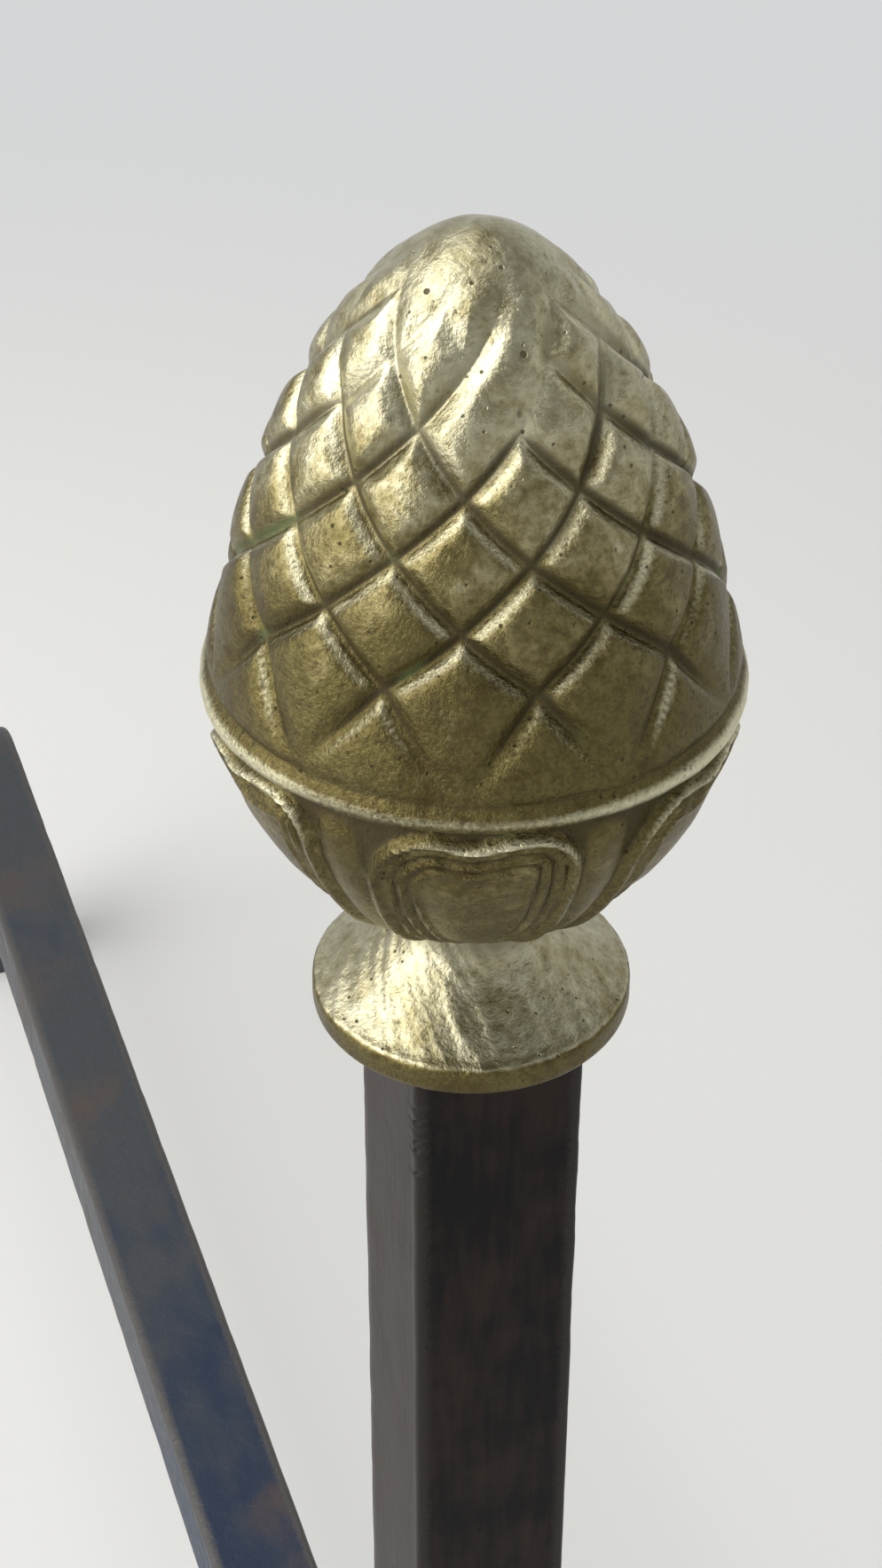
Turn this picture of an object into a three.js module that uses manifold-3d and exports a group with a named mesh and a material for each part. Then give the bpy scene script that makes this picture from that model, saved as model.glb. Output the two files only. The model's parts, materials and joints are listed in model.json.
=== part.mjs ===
// One andiron of a pair: a square iron post with a cast brass finial, standing on an arched pair of
// front legs, with a log bar that runs back from the arch and turns down into a rear leg.
// Millimetres, +Z up. The front faces -Y and the log bar runs towards +Y. The origin lies on the
// floor, under the middle of the whole footprint.

import * as THREE from 'three';
import { mergeVertices } from 'three/addons/utils/BufferGeometryUtils.js';
import Module from 'manifold-3d';

const wasm = await Module();
wasm.setup();

// ---- Driving dimensions ----------------------------------------------------------------------

// Stock and heights
const barSide = 19.05; // square bar of the post, the arch and the log bar
const barChamfer = 0.9; // worn arrises of the bar
const logBarTop = 88.9; // floor to the top of the log bar
const postTop = 323.5; // floor to the top of the post, where the finial sits

// Front arch
const footSpread = 228; // between the centres of the two round feet
const footRadius = 20;
const footThickness = 6;
const footBevel = 0.8;
const crownFlat = 36; // straight stretch in the middle of the arch
const crownRise = 8; // top of the crown above the top of the log bar
const crownWidth = 26; // front to back, where the bar swells round its punched hole
const swellLength = 46; // length of that swelling along the arch
const legTurn = 68; // degrees, from the crown down into each leg and back again at its foot
const shoulderRadius = 38; // bend under the crown
const ankleRadius = 30; // reverse bend above the foot
const legEndThickness = 5.2; // the leg is drawn down to this where it runs into its foot
const legEndWidth = 24; // and spreads to this

// Log bar and rear leg
const logReach = 419; // post axis to the middle of the rear leg
const rearBendRadius = 24; // on the bar's centre line
const tabThickness = 8; // flattened front end, held under the crown
const tabWidth = 28.6;
const tabNose = 14; // from the post axis to the front of the tab
const tabFlare = 24; // the bar narrows from the tab's width over this length
const logBarGap = 0.3; // between the log bar's shoulder and the crown

// Shank of the post, its washer and nut
const shankSide = 12.7; // square, through the crown and the tab
const shankClearance = 0.3; // each side, in the punched holes
const threadRadius = 6.35;
const threadEnd = 3; // thread standing out below the nut
const threadClearance = 0.3;
const shankSetback = 0.6; // the square stops short, so that the washer clamps the tab
const washerRadius = 13.5;
const washerThickness = 2.4;
const nutSide = 20.6; // square nut, across its flats
const nutThickness = 11.1;
const nutBevel = 0.8;

// Threaded stud between the post and the finial
const studRadius = 3.97;
const studLength = 38;
const studInPost = 18;
const studClearance = 0.3; // round the stud
const studEndPlay = 1.5; // beyond each end of the stud
const studBevel = 0.8;

// Finial, in heights above the top of the post
const finialTurn = -20; // degrees about the post, as it screws tight
const flangeRadius = 16.9;
const flangeRim = 3.6;
const flangeBevel = 0.5;
const neckRadius = 6.9;
const neckHeight = 13.7; // where the flange's sweep meets the bowl
const bellyRadius = 26.5; // greatest radius, a little below the rolled bead
const bellyHeight = 39.4;
const bowlDepth = 26.7; // belly down to where the bowl would close
const bowlPower = 1.7;
const tipHeight = 88.2;
const eggPower = 1.55; // fullness of the egg towards the tip
const eggTaper = 0.56;

// Relief on the finial
const beadHeight = 41.7;
const beadHalfWidth = 1.1;
const beadRise = 0.3;
const beadGroove = 0.5; // depth of the line between the bead and the scales
const scaleCount = 10; // scales round the egg
const scaleStart = 43.4; // the lowest grooves leave the bead here
const firstCrossing = 53.3; // the lowest crossing of two grooves
const rowClimb = 5.96; // along the surface, from one crossing to the next
const scaleGroove = 1; // depth of the grooves between the scales
const grooveBottom = 0.02; // half width of a groove's bottom, as a share of the way to the next groove
const grooveEdge = 0.16; // and of the whole groove
const grooveTopRow = 0.2; // rows below the tip where the grooves have died away
const grooveFullRow = 1.2; // and where they have their whole depth
const scaleTurn = -2.5; // degrees, the scales against the leaves
const leafCount = 6;
const leafHalfAngle = 24.5; // degrees
const leafTop = 39.9;
const leafNotch = 0.8; // dip in the middle of each leaf's top edge
const leafNotchSpread = 0.35; // half width of that dip, as a share of the leaf's
const leafRound = 7; // how far the top edge falls at the corners
const leafCornerPower = 6; // how late it falls
const leafRim = 2.6; // width of the thick border
const leafRise = 1.1; // the bowl between the leaves is sunk this far
const leafField = 0.45; // rise of the leaf inside its border
const leafFade = 7; // the leaves die away over this height above the neck

// Mesh resolution
const columnsPerScale = 6;
const linesPerRow = 3;
const roundSegments = 32;
const bendStep = 7; // degrees
const eggSteps = 4000; // steps in which the egg's outline is measured
const sweepLines = 8; // rings on the flange's sweep
const bowlLines = 13;
const bowlLineSpread = 1.1; // sets the bowl's rings closer together near the bead
const beadLines = 4;
const tipLineShare = 0.8; // the last ring, between the ring below it and the tip
const crownPieces = 4; // pieces of each straight stretch of bar
const legPieces = 4;
const anklePieces = 2;
const flarePieces = 4;
const logPieces = 6;
const rearPieces = 3;
const mergeDistance = 1e-4;
const overlap = 1; // cutters run on past what they cut, and joined blocks into each other, by this

// ---- Derived sizes -----------------------------------------------------------------------------

const halfBar = barSide / 2;
const crownTop = logBarTop + crownRise;
const crownBottom = crownTop - barSide;
const crownCentre = crownTop - halfBar;
const tabBottom = crownBottom - tabThickness;
const washerBottom = tabBottom - washerThickness;
const nutBottom = washerBottom - nutThickness;
const shoulderFace = crownWidth / 2 + logBarGap;
const shankHole = shankSide + 2 * shankClearance;
const studHoleRadius = studRadius + studClearance;
const studHoleInPost = studInPost + studEndPlay;
const studHoleInFinial = studLength - studInPost + studEndPlay;

const rightward = new THREE.Vector3(1, 0, 0);
const rearward = new THREE.Vector3(0, 1, 0);
const upward = new THREE.Vector3(0, 0, 1);

const radians = THREE.MathUtils.degToRad;
const { lerp, smoothstep } = THREE.MathUtils;

// ---- Geometry helpers --------------------------------------------------------------------------

// A closed solid through rings of equally many points. Each end closes on a fan round its middle.
// Each quad is split along its lower diagonal where sink, the depth at a point, says so.
function loftGeometry(rings, sink = () => 0) {
  const count = rings[0].length;
  const positions = rings.flat().flatMap((point) => point.toArray());
  const index = [];
  const at = (ring, column) => ring * count + (column % count);
  for (let ring = 0; ring + 1 < rings.length; ring += 1) {
    for (let column = 0; column < count; column += 1) {
      const [a, b] = [at(ring, column), at(ring, column + 1)];
      const [c, d] = [at(ring + 1, column + 1), at(ring + 1, column)];
      const straight = sink(ring, column) + sink(ring + 1, column + 1);
      const crossed = sink(ring, column + 1) + sink(ring + 1, column);
      if (straight >= crossed) index.push(a, b, c, a, c, d);
      else index.push(a, b, d, b, c, d);
    }
  }
  for (const last of [false, true]) {
    const ring = last ? rings.length - 1 : 0;
    const middle = rings[ring].reduce((sum, point) => sum.add(point), new THREE.Vector3());
    const centre = positions.length / 3;
    positions.push(...middle.divideScalar(count).toArray());
    for (let column = 0; column < count; column += 1) {
      const [a, b] = [at(ring, column), at(ring, column + 1)];
      if (last) index.push(a, b, centre);
      else index.push(b, a, centre);
    }
  }
  const geometry = new THREE.BufferGeometry();
  geometry.setAttribute('position', new THREE.Float32BufferAttribute(positions, 3));
  geometry.setIndex(index);
  return geometry;
}

// The eight corners of a bar's section with chamfered arrises, counter-clockwise.
function barSection(width, height, chamfer) {
  const [w, h] = [width / 2, height / 2];
  const [wi, hi] = [w - chamfer, h - chamfer];
  return [[wi, -h], [w, -hi], [w, hi], [wi, h], [-wi, h], [-w, hi], [-w, -hi], [-wi, -h]];
}

// A line in a plane made of straights and bends. Each station holds its place and its heading.
class BentPath {
  constructor(along, up, heading) {
    this.stations = [{ along, up, heading }];
  }

  get end() {
    return this.stations[this.stations.length - 1];
  }

  straight(length, pieces = 1) {
    const start = this.end;
    const turn = radians(start.heading);
    for (let i = 1; i <= pieces; i += 1) {
      const run = (length * i) / pieces;
      this.stations.push({
        along: start.along + run * Math.cos(turn),
        up: start.up + run * Math.sin(turn),
        heading: start.heading,
      });
    }
    return this;
  }

  bend(radius, angle) {
    const start = this.end;
    const side = Math.sign(angle);
    const pieces = Math.ceil(Math.abs(angle) / bendStep);
    const centreAlong = start.along - side * radius * Math.sin(radians(start.heading));
    const centreUp = start.up + side * radius * Math.cos(radians(start.heading));
    for (let i = 1; i <= pieces; i += 1) {
      const heading = start.heading + (angle * i) / pieces;
      this.stations.push({
        along: centreAlong + side * radius * Math.sin(radians(heading)),
        up: centreUp - side * radius * Math.cos(radians(heading)),
        heading,
      });
    }
    return this;
  }
}

// Sweeps a bar's section along stations that lie in the plane of the vectors along and up.
function sweepBar(stations, along, up, sizeAt) {
  const across = new THREE.Vector3().crossVectors(up, along);
  const rings = stations.map((station) => {
    const { width, thickness } = sizeAt(station);
    const turn = radians(station.heading);
    const centre = along.clone().multiplyScalar(station.along).addScaledVector(up, station.up);
    const normal = along.clone().multiplyScalar(-Math.sin(turn)).addScaledVector(up, Math.cos(turn));
    return barSection(width, thickness, barChamfer).map(([w, h]) =>
      centre.clone().addScaledVector(across, w).addScaledVector(normal, h));
  });
  return loftGeometry(rings);
}

function toSolid(geometry) {
  const plain = geometry.clone();
  plain.deleteAttribute('normal');
  plain.deleteAttribute('uv');
  const merged = mergeVertices(plain, mergeDistance);
  return new wasm.Manifold(new wasm.Mesh({
    numProp: 3,
    vertProperties: merged.attributes.position.array,
    triVerts: new Uint32Array(merged.index.array),
  }));
}

function toGeometry(solid) {
  const mesh = solid.getMesh();
  const geometry = new THREE.BufferGeometry();
  geometry.setAttribute('position', new THREE.BufferAttribute(mesh.vertProperties, 3));
  geometry.setIndex(new THREE.BufferAttribute(mesh.triVerts, 1));
  return geometry;
}

function upright(radius, bottom, top) {
  const height = top - bottom;
  return new THREE.CylinderGeometry(radius, radius, height, roundSegments)
    .rotateX(Math.PI / 2)
    .translate(0, 0, bottom + height / 2);
}

function squareBlock(side, bottom, top) {
  return new THREE.BoxGeometry(side, side, top - bottom).translate(0, 0, (top + bottom) / 2);
}

// A round rod along Z with a bevel at each end that has one.
function roundRod(radius, bottom, top, bottomBevel, topBevel) {
  const profile = [
    new THREE.Vector2(0, bottom),
    new THREE.Vector2(radius - bottomBevel, bottom),
    new THREE.Vector2(radius, bottom + bottomBevel),
    new THREE.Vector2(radius, top - topBevel),
    new THREE.Vector2(radius - topBevel, top),
    new THREE.Vector2(0, top),
  ];
  return new THREE.LatheGeometry(profile, roundSegments).rotateX(Math.PI / 2);
}

function named(name, geometry, material) {
  const mesh = new THREE.Mesh(geometry, material);
  mesh.name = name;
  return mesh;
}

// ---- Finial ------------------------------------------------------------------------------------

// Plain outer radius of the egg and its bowl at a height above the post.
function bodyRadius(height) {
  if (height >= bellyHeight) {
    const rise = Math.min(1, (height - bellyHeight) / (tipHeight - bellyHeight));
    return bellyRadius * (1 - rise ** eggPower) ** eggTaper;
  }
  const drop = (bellyHeight - height) / bowlDepth;
  return bellyRadius * Math.sqrt(Math.max(0, 1 - drop ** bowlPower));
}

// The egg's outline from the lowest grooves to the tip, as fine steps with the length so far.
function measureEgg() {
  const marks = [{ height: scaleStart, length: 0 }];
  for (let i = 1; i <= eggSteps; i += 1) {
    const before = marks[i - 1];
    const rise = 1 - (1 - i / eggSteps) ** 2;
    const height = lerp(scaleStart, tipHeight, rise);
    const inward = bodyRadius(height) - bodyRadius(before.height);
    marks.push({ height, length: before.length + Math.hypot(height - before.height, inward) });
  }
  return marks;
}

const eggMarks = measureEgg();
const eggLength = eggMarks[eggMarks.length - 1].length;
const firstRowLength = eggMarks.find((mark) => mark.height >= firstCrossing).length;
const rowsToTip = 1 + (eggLength - firstRowLength) / rowClimb;

// Height on the egg after climbing a number of rows of crossings.
function heightAtRow(row) {
  const length = row < 1 ? row * firstRowLength : firstRowLength + (row - 1) * rowClimb;
  return eggMarks.find((mark) => mark.length >= length)?.height ?? tipHeight;
}

// Depth of the line above the bead and of the two families of spiral grooves. The grooves cross at
// whole rows.
function scaleSink(turn, row) {
  if (row === 0) return beadGroove;
  const round = (scaleCount * (turn - scaleTurn)) / 360;
  const leads = [round + row / 2, round - row / 2];
  const nearest = Math.min(...leads.map((lead) => Math.abs(lead - Math.round(lead))));
  const climbFade = smoothstep(rowsToTip - row, grooveTopRow, grooveFullRow);
  return scaleGroove * climbFade * (1 - smoothstep(nearest, grooveBottom, grooveEdge));
}

// Depth below the bowl's outline: none on a leaf's thick rounded border, some in the field inside
// it, and most between the leaves.
function leafSink(turn, height) {
  const pitch = 360 / leafCount;
  const lean = turn - pitch * Math.round(turn / pitch);
  const spread = Math.abs(lean) / leafHalfAngle;
  const notch = leafNotch * (1 - smoothstep(spread, 0, leafNotchSpread));
  const edge = leafTop - notch - leafRound * spread ** leafCornerPower;
  const side = radians(leafHalfAngle - Math.abs(lean)) * bodyRadius(height);
  const inside = Math.min(side, edge - height);
  const fade = smoothstep(height - neckHeight, 0, leafFade);
  if (inside <= 0) return fade * leafRise;
  const border = leafRise * Math.sin(Math.PI * Math.min(1, inside / leafRim));
  const field = leafField * smoothstep(inside, 0, leafRim);
  return fade * (leafRise - Math.max(border, field));
}

// The rolled bead between the bowl and the scales.
function beadRelief(height) {
  const across = (height - beadHeight) / beadHalfWidth;
  return beadRise * Math.max(0, 1 - across ** 2);
}

// Quarter-ellipse sweep of the flange, from its rim up to the neck.
function flangeSweep(part) {
  const turn = (part * Math.PI) / 2;
  return {
    radius: flangeRadius - flangeBevel - (flangeRadius - flangeBevel - neckRadius) * Math.sin(turn),
    height: flangeRim + (neckHeight - flangeRim) * (1 - Math.cos(turn)),
  };
}

function makeFinial(material) {
  const columns = scaleCount * columnsPerScale;
  const sinks = [];
  const rings = [];
  const turnAt = (column) => scaleTurn + (360 * column) / columns;
  const addRing = (height, radiusAt, sinkAt = () => 0) => {
    const sink = Array.from({ length: columns }, (_, column) => sinkAt(turnAt(column)));
    sinks.push(sink);
    rings.push(sink.map((depth, column) => {
      const turn = radians(turnAt(column));
      const radius = radiusAt(turnAt(column)) - depth;
      return new THREE.Vector3(radius * Math.sin(turn), -radius * Math.cos(turn), height);
    }));
  };

  // The threaded hole, the flat underside and the rim of the flange
  addRing(studHoleInFinial, () => studHoleRadius);
  addRing(0, () => studHoleRadius);
  addRing(0, () => flangeRadius - flangeBevel);
  addRing(flangeBevel, () => flangeRadius);
  addRing(flangeRim - flangeBevel, () => flangeRadius);

  for (let i = 0; i < sweepLines; i += 1) {
    const { radius, height } = flangeSweep(i / sweepLines);
    addRing(height, () => radius);
  }

  // The bowl with its leaves, from where it leaves the neck up to under the bead
  const beadBottom = beadHeight - beadHalfWidth;
  for (let i = 0; i < bowlLines; i += 1) {
    const climb = Math.sin((i / bowlLines) * (Math.PI / 2)) ** bowlLineSpread;
    const height = lerp(neckHeight, beadBottom, climb);
    addRing(height, () => Math.max(neckRadius, bodyRadius(height)), (turn) => leafSink(turn, height));
  }

  for (let i = 0; i <= beadLines; i += 1) {
    const height = beadBottom + (2 * beadHalfWidth * i) / beadLines;
    addRing(height, () => bodyRadius(height) + beadRelief(height));
  }

  // The egg with its scales
  const scaleLines = Math.floor(rowsToTip * linesPerRow);
  for (let i = 0; i < scaleLines; i += 1) {
    const row = i / linesPerRow;
    const height = heightAtRow(row);
    addRing(height, () => bodyRadius(height), (turn) => scaleSink(turn, row));
  }
  const tipLine = lerp(heightAtRow((scaleLines - 1) / linesPerRow), tipHeight, tipLineShare);
  addRing(tipLine, () => bodyRadius(tipLine));

  const geometry = loftGeometry(rings, (ring, column) => sinks[ring][column % columns]);
  const tip = geometry.attributes.position.count - 1;
  geometry.attributes.position.setZ(tip, tipHeight);
  const finial = named('finial', geometry, material);
  finial.position.z = postTop;
  finial.rotation.z = radians(finialTurn);
  return finial;
}

function makeFinialStud(material) {
  const stud = named('finial_stud', roundRod(studRadius, 0, studLength, studBevel, studBevel), material);
  stud.position.z = postTop - studInPost;
  return stud;
}

// ---- Post --------------------------------------------------------------------------------------

// The square bar, its square shank through the crown and the tab, and the thread for the nut.
function makePost(material) {
  const corners = barSection(barSide, barSide, barChamfer).map(([x, y]) => new THREE.Vector2(x, y));
  const body = new THREE.ExtrudeGeometry(new THREE.Shape(corners), {
    depth: postTop - crownTop,
    bevelEnabled: false,
  });
  const shankBottom = tabBottom + shankSetback - crownTop;
  const threadBottom = nutBottom - threadEnd - crownTop;
  const shank = squareBlock(shankSide, shankBottom, overlap);
  const thread = roundRod(threadRadius, threadBottom, shankBottom + overlap, studBevel, 0);
  const length = postTop - crownTop;
  const hole = upright(studHoleRadius, length - studHoleInPost, length + overlap);
  const solid = toSolid(body).add(toSolid(shank)).add(toSolid(thread)).subtract(toSolid(hole));
  const post = named('post', toGeometry(solid), material);
  post.position.z = crownTop;
  return post;
}

// ---- Front arch --------------------------------------------------------------------------------

// One half of the arch, from the middle of the crown to the middle of its foot.
function legPath() {
  const turn = radians(legTurn);
  const bendDrop = (shoulderRadius + ankleRadius) * (1 - Math.cos(turn));
  const steepLength = (crownCentre - footThickness / 2 - bendDrop) / Math.sin(turn);
  const path = new BentPath(0, crownCentre, 0)
    .straight(crownFlat / 2, crownPieces)
    .bend(shoulderRadius, -legTurn);
  const shoulderReach = path.end.along;
  path.straight(steepLength, legPieces).bend(ankleRadius, legTurn);
  const ankleReach = path.end.along;
  path.straight(footSpread / 2 - ankleReach, anklePieces);
  return { stations: path.stations, shoulderReach, ankleReach };
}

function makeFrontArch(material) {
  const { stations: right, shoulderReach, ankleReach } = legPath();
  const left = right.slice(1).reverse().map(({ along, up, heading }) =>
    ({ along: -along, up, heading: -heading }));
  const sizeAt = (station) => {
    const reach = Math.abs(station.along);
    const swell = (crownWidth - barSide) * (1 - smoothstep(reach, shankSide / 2, swellLength / 2));
    const drawn = smoothstep(reach, shoulderReach, ankleReach);
    return {
      width: lerp(barSide, legEndWidth, drawn) + swell,
      thickness: lerp(barSide, legEndThickness, drawn),
    };
  };
  const bar = sweepBar([...left, ...right], rightward, upward, sizeAt);
  let solid = toSolid(bar);
  for (const side of [-1, 1]) {
    const foot = roundRod(footRadius, 0, footThickness, footBevel, footBevel);
    solid = solid.add(toSolid(foot.translate((side * footSpread) / 2, 0, 0)));
  }
  solid = solid.subtract(toSolid(squareBlock(shankHole, crownBottom - overlap, crownTop + overlap)));
  return named('front_arch', toGeometry(solid), material);
}

// ---- Log bar -----------------------------------------------------------------------------------

// The flattened front end that lies under the crown, with the square hole for the shank.
function tabSolid() {
  const half = tabWidth / 2;
  const corner = Math.min(half, tabNose) - barChamfer;
  const outline = new THREE.Shape()
    .moveTo(half, shoulderFace + overlap)
    .lineTo(-half, shoulderFace + overlap)
    .lineTo(-half, corner - tabNose)
    .absarc(corner - half, corner - tabNose, corner, Math.PI, 1.5 * Math.PI)
    .absarc(half - corner, corner - tabNose, corner, 1.5 * Math.PI, 2 * Math.PI);
  const plate = new THREE.ExtrudeGeometry(outline, {
    depth: tabThickness,
    bevelEnabled: false,
    curveSegments: roundSegments / 4,
  });
  return toSolid(plate.translate(0, 0, tabBottom));
}

function makeLogBar(material) {
  const barCentre = logBarTop - halfBar;
  const path = new BentPath(shoulderFace, barCentre, 0)
    .straight(tabFlare, flarePieces)
    .straight(logReach - rearBendRadius - shoulderFace - tabFlare, logPieces)
    .bend(rearBendRadius, -90)
    .straight(barCentre - rearBendRadius, rearPieces)
    .stations;
  const sizeAt = (station) => {
    const flare = 1 - smoothstep(station.along - shoulderFace, 0, tabFlare);
    return { width: lerp(barSide, tabWidth, flare), thickness: barSide };
  };
  const bar = sweepBar(path, rearward, upward, sizeAt);
  const hole = squareBlock(shankHole, tabBottom - overlap, crownBottom + overlap);
  const solid = toSolid(bar).add(tabSolid()).subtract(toSolid(hole));
  return named('log_bar', toGeometry(solid), material);
}

// ---- Washer and nut under the crown ------------------------------------------------------------

function makeShankWasher(material) {
  const ring = new THREE.Shape().absarc(0, 0, washerRadius, 0, 2 * Math.PI);
  ring.holes.push(new THREE.Path().absarc(0, 0, threadRadius + threadClearance, 0, 2 * Math.PI, true));
  const geometry = new THREE.ExtrudeGeometry(ring, {
    depth: washerThickness,
    bevelEnabled: false,
    curveSegments: roundSegments,
  });
  const washer = named('shank_washer', geometry, material);
  washer.position.z = washerBottom;
  return washer;
}

function makeShankNut(material) {
  const half = nutSide / 2 - nutBevel;
  const outline = new THREE.Shape()
    .moveTo(-half, -half)
    .lineTo(half, -half)
    .lineTo(half, half)
    .lineTo(-half, half);
  const block = new THREE.ExtrudeGeometry(outline, {
    depth: nutThickness - 2 * nutBevel,
    bevelThickness: nutBevel,
    bevelSize: nutBevel,
    bevelSegments: 2,
  });
  const hole = upright(threadRadius + threadClearance, -overlap, nutThickness + overlap);
  const solid = toSolid(block.translate(0, 0, nutBevel)).subtract(toSolid(hole));
  const nut = named('shank_nut', toGeometry(solid), material);
  nut.position.z = nutBottom;
  return nut;
}

// ---- Assembly ----------------------------------------------------------------------------------

const castBrass = new THREE.MeshStandardMaterial({ color: 0x9c8a4e, roughness: 0.38, metalness: 1 });
const forgedIron = new THREE.MeshStandardMaterial({ color: 0x35302e, roughness: 0.6, metalness: 0.6 });
const scaledIron = new THREE.MeshStandardMaterial({ color: 0x4a5058, roughness: 0.55, metalness: 0.7 });
const plainSteel = new THREE.MeshStandardMaterial({ color: 0x6d6c68, roughness: 0.45, metalness: 0.9 });

const andiron = new THREE.Group();
andiron.name = 'andiron';
andiron.add(
  makeFinial(castBrass),
  makeFinialStud(plainSteel),
  makePost(forgedIron),
  makeFrontArch(forgedIron.clone()),
  makeLogBar(scaledIron),
  makeShankWasher(plainSteel.clone()),
  makeShankNut(plainSteel.clone()),
);

// Built round the post's axis, then moved so that the origin lies under the middle of the whole
andiron.position.y = -new THREE.Box3().setFromObject(andiron, true).getCenter(new THREE.Vector3()).y;

export default andiron;
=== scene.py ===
"""One andiron of a pair, dressed for its portrait.

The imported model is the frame. A cast brass finial, a square post, an arched pair of front legs and a
log bar are modelled over it at the same places, and the stud, the washer and the nut keep their
shapes and get a steel finish. Everything is in metres, +Z up, with the front towards -Y.
"""

from __future__ import annotations

import json
import logging
import math
from dataclasses import dataclass, field, replace
from enum import Enum
from typing import Any, Callable, Mapping, Sequence

import bpy
import numpy as np
from mathutils import Matrix, Vector, noise

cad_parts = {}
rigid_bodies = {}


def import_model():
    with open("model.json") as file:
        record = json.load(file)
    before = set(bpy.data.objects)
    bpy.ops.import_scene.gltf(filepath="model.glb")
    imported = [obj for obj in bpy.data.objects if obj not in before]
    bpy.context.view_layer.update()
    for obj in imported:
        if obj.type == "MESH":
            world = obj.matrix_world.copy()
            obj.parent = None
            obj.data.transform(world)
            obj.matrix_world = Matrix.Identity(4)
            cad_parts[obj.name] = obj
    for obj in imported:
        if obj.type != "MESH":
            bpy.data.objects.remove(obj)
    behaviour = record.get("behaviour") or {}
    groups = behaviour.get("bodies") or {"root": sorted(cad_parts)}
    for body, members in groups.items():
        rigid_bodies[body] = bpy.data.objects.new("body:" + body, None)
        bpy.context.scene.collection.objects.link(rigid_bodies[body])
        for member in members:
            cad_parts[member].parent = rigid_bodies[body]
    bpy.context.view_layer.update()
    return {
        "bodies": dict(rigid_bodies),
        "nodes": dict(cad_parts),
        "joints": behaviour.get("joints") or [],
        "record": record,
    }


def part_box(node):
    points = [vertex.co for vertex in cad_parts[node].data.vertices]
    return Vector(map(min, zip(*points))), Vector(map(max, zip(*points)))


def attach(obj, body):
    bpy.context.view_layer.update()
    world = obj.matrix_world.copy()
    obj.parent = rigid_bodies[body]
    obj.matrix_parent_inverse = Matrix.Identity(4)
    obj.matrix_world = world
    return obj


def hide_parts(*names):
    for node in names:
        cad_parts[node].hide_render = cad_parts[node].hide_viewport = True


MM = 0.001
FULL_TURN = 360.0
MIDDLE = 0.5
"""Middle of a cloud's range."""
TINY = 1e-9
"""The least length to divide by."""
MERGE_DISTANCE = 0.0005 * MM
"""Points that lie nearer to each other than this are joined."""
SEED_SHIFT = (1.0, -1.7, 0.6)
"""How far a seed moves the noise along each axis."""

log = logging.getLogger("andiron")

Colour = tuple[float, float, float]
Triple = tuple[float, float, float]
Span = tuple[float, float]


# ---- Small maths -----------------------------------------------------------------------------


def smoothstep(value: np.ndarray | float, low: float, high: float) -> np.ndarray:
    """Eases from 0 at low to 1 at high.

    Args:
        value: Where to read the curve.
        low: Value at which it leaves 0.
        high: Value at which it reaches 1.

    Returns:
        The eased share, of the same shape as value.
    """
    share = np.clip((np.asarray(value, float) - low) / (high - low), 0.0, 1.0)
    return share * share * (3.0 - 2.0 * share)


def mix(start: np.ndarray | float, end: np.ndarray | float, share: np.ndarray | float) -> np.ndarray:
    """Goes from start to end as share goes from 0 to 1."""
    return start + (end - start) * share


def soft_min(first: np.ndarray, second: np.ndarray | float, reach: float) -> np.ndarray:
    """The lower of two values, rounded where they are within reach of each other.

    Args:
        first: One value.
        second: The other value.
        reach: Difference under which the corner between them is rounded.

    Returns:
        The rounded minimum.
    """
    near = np.maximum(reach - np.abs(first - second), 0.0) / reach
    return np.minimum(first, second) - near * near * reach / 4.0


@dataclass(frozen=True)
class Waver:
    """Smooth, repeatable unevenness over a surface.

    It changes over a size in metres, its depth is a length or a share, and its seed sets its pattern
    apart from the others.
    """

    size: float
    depth: float
    seed: float

    def at(self, points: np.ndarray) -> np.ndarray:
        """The unevenness at each row of points, from about -depth to depth."""
        shift = Vector([share * self.seed for share in SEED_SHIFT])
        return self.depth * np.array([noise.noise(Vector(point) / self.size + shift) for point in points])


# ---- Work on meshes --------------------------------------------------------------------------


def deselect_all() -> None:
    """Leaves nothing selected."""
    if bpy.context.object is not None and bpy.context.object.mode != "OBJECT":
        bpy.ops.object.mode_set(mode="OBJECT")
    bpy.ops.object.select_all(action="DESELECT")


def take_up(piece: bpy.types.Object) -> None:
    """Makes a piece the only one that is selected, and the active one.

    Args:
        piece: The piece.
    """
    deselect_all()
    piece.select_set(True)
    bpy.context.view_layer.objects.active = piece


def points_of(piece: bpy.types.Object) -> np.ndarray:
    """Reads where a piece's vertices are.

    Args:
        piece: The piece.

    Returns:
        One row of x, y and z a vertex.
    """
    flat = np.zeros(len(piece.data.vertices) * 3)
    piece.data.vertices.foreach_get("co", flat)
    return flat.reshape(-1, 3)


def move_points(piece: bpy.types.Object, points: np.ndarray) -> None:
    """Moves the piece's vertices to new places."""
    piece.data.vertices.foreach_set("co", points.ravel())
    piece.data.update()


def paint(piece: bpy.types.Object, name: str, values: np.ndarray) -> None:
    """Stores one number a vertex, for the finish to read.

    Args:
        piece: The piece to paint.
        name: Name of the attribute.
        values: One number a vertex.
    """
    layer = piece.data.attributes.new(name, "FLOAT", "POINT")
    layer.data.foreach_set("value", values.astype(np.float32))


def select_faces(piece: bpy.types.Object, chosen: np.ndarray) -> None:
    """Selects some faces of the active piece and enters edit mode on them.

    Args:
        piece: The active piece, in object mode.
        chosen: True for each face to select.
    """
    bpy.ops.object.mode_set(mode="EDIT")
    bpy.ops.mesh.select_mode(type="FACE")
    bpy.ops.mesh.select_all(action="DESELECT")
    bpy.ops.object.mode_set(mode="OBJECT")
    piece.data.polygons.foreach_set("select", chosen)
    bpy.ops.object.mode_set(mode="EDIT")


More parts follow.
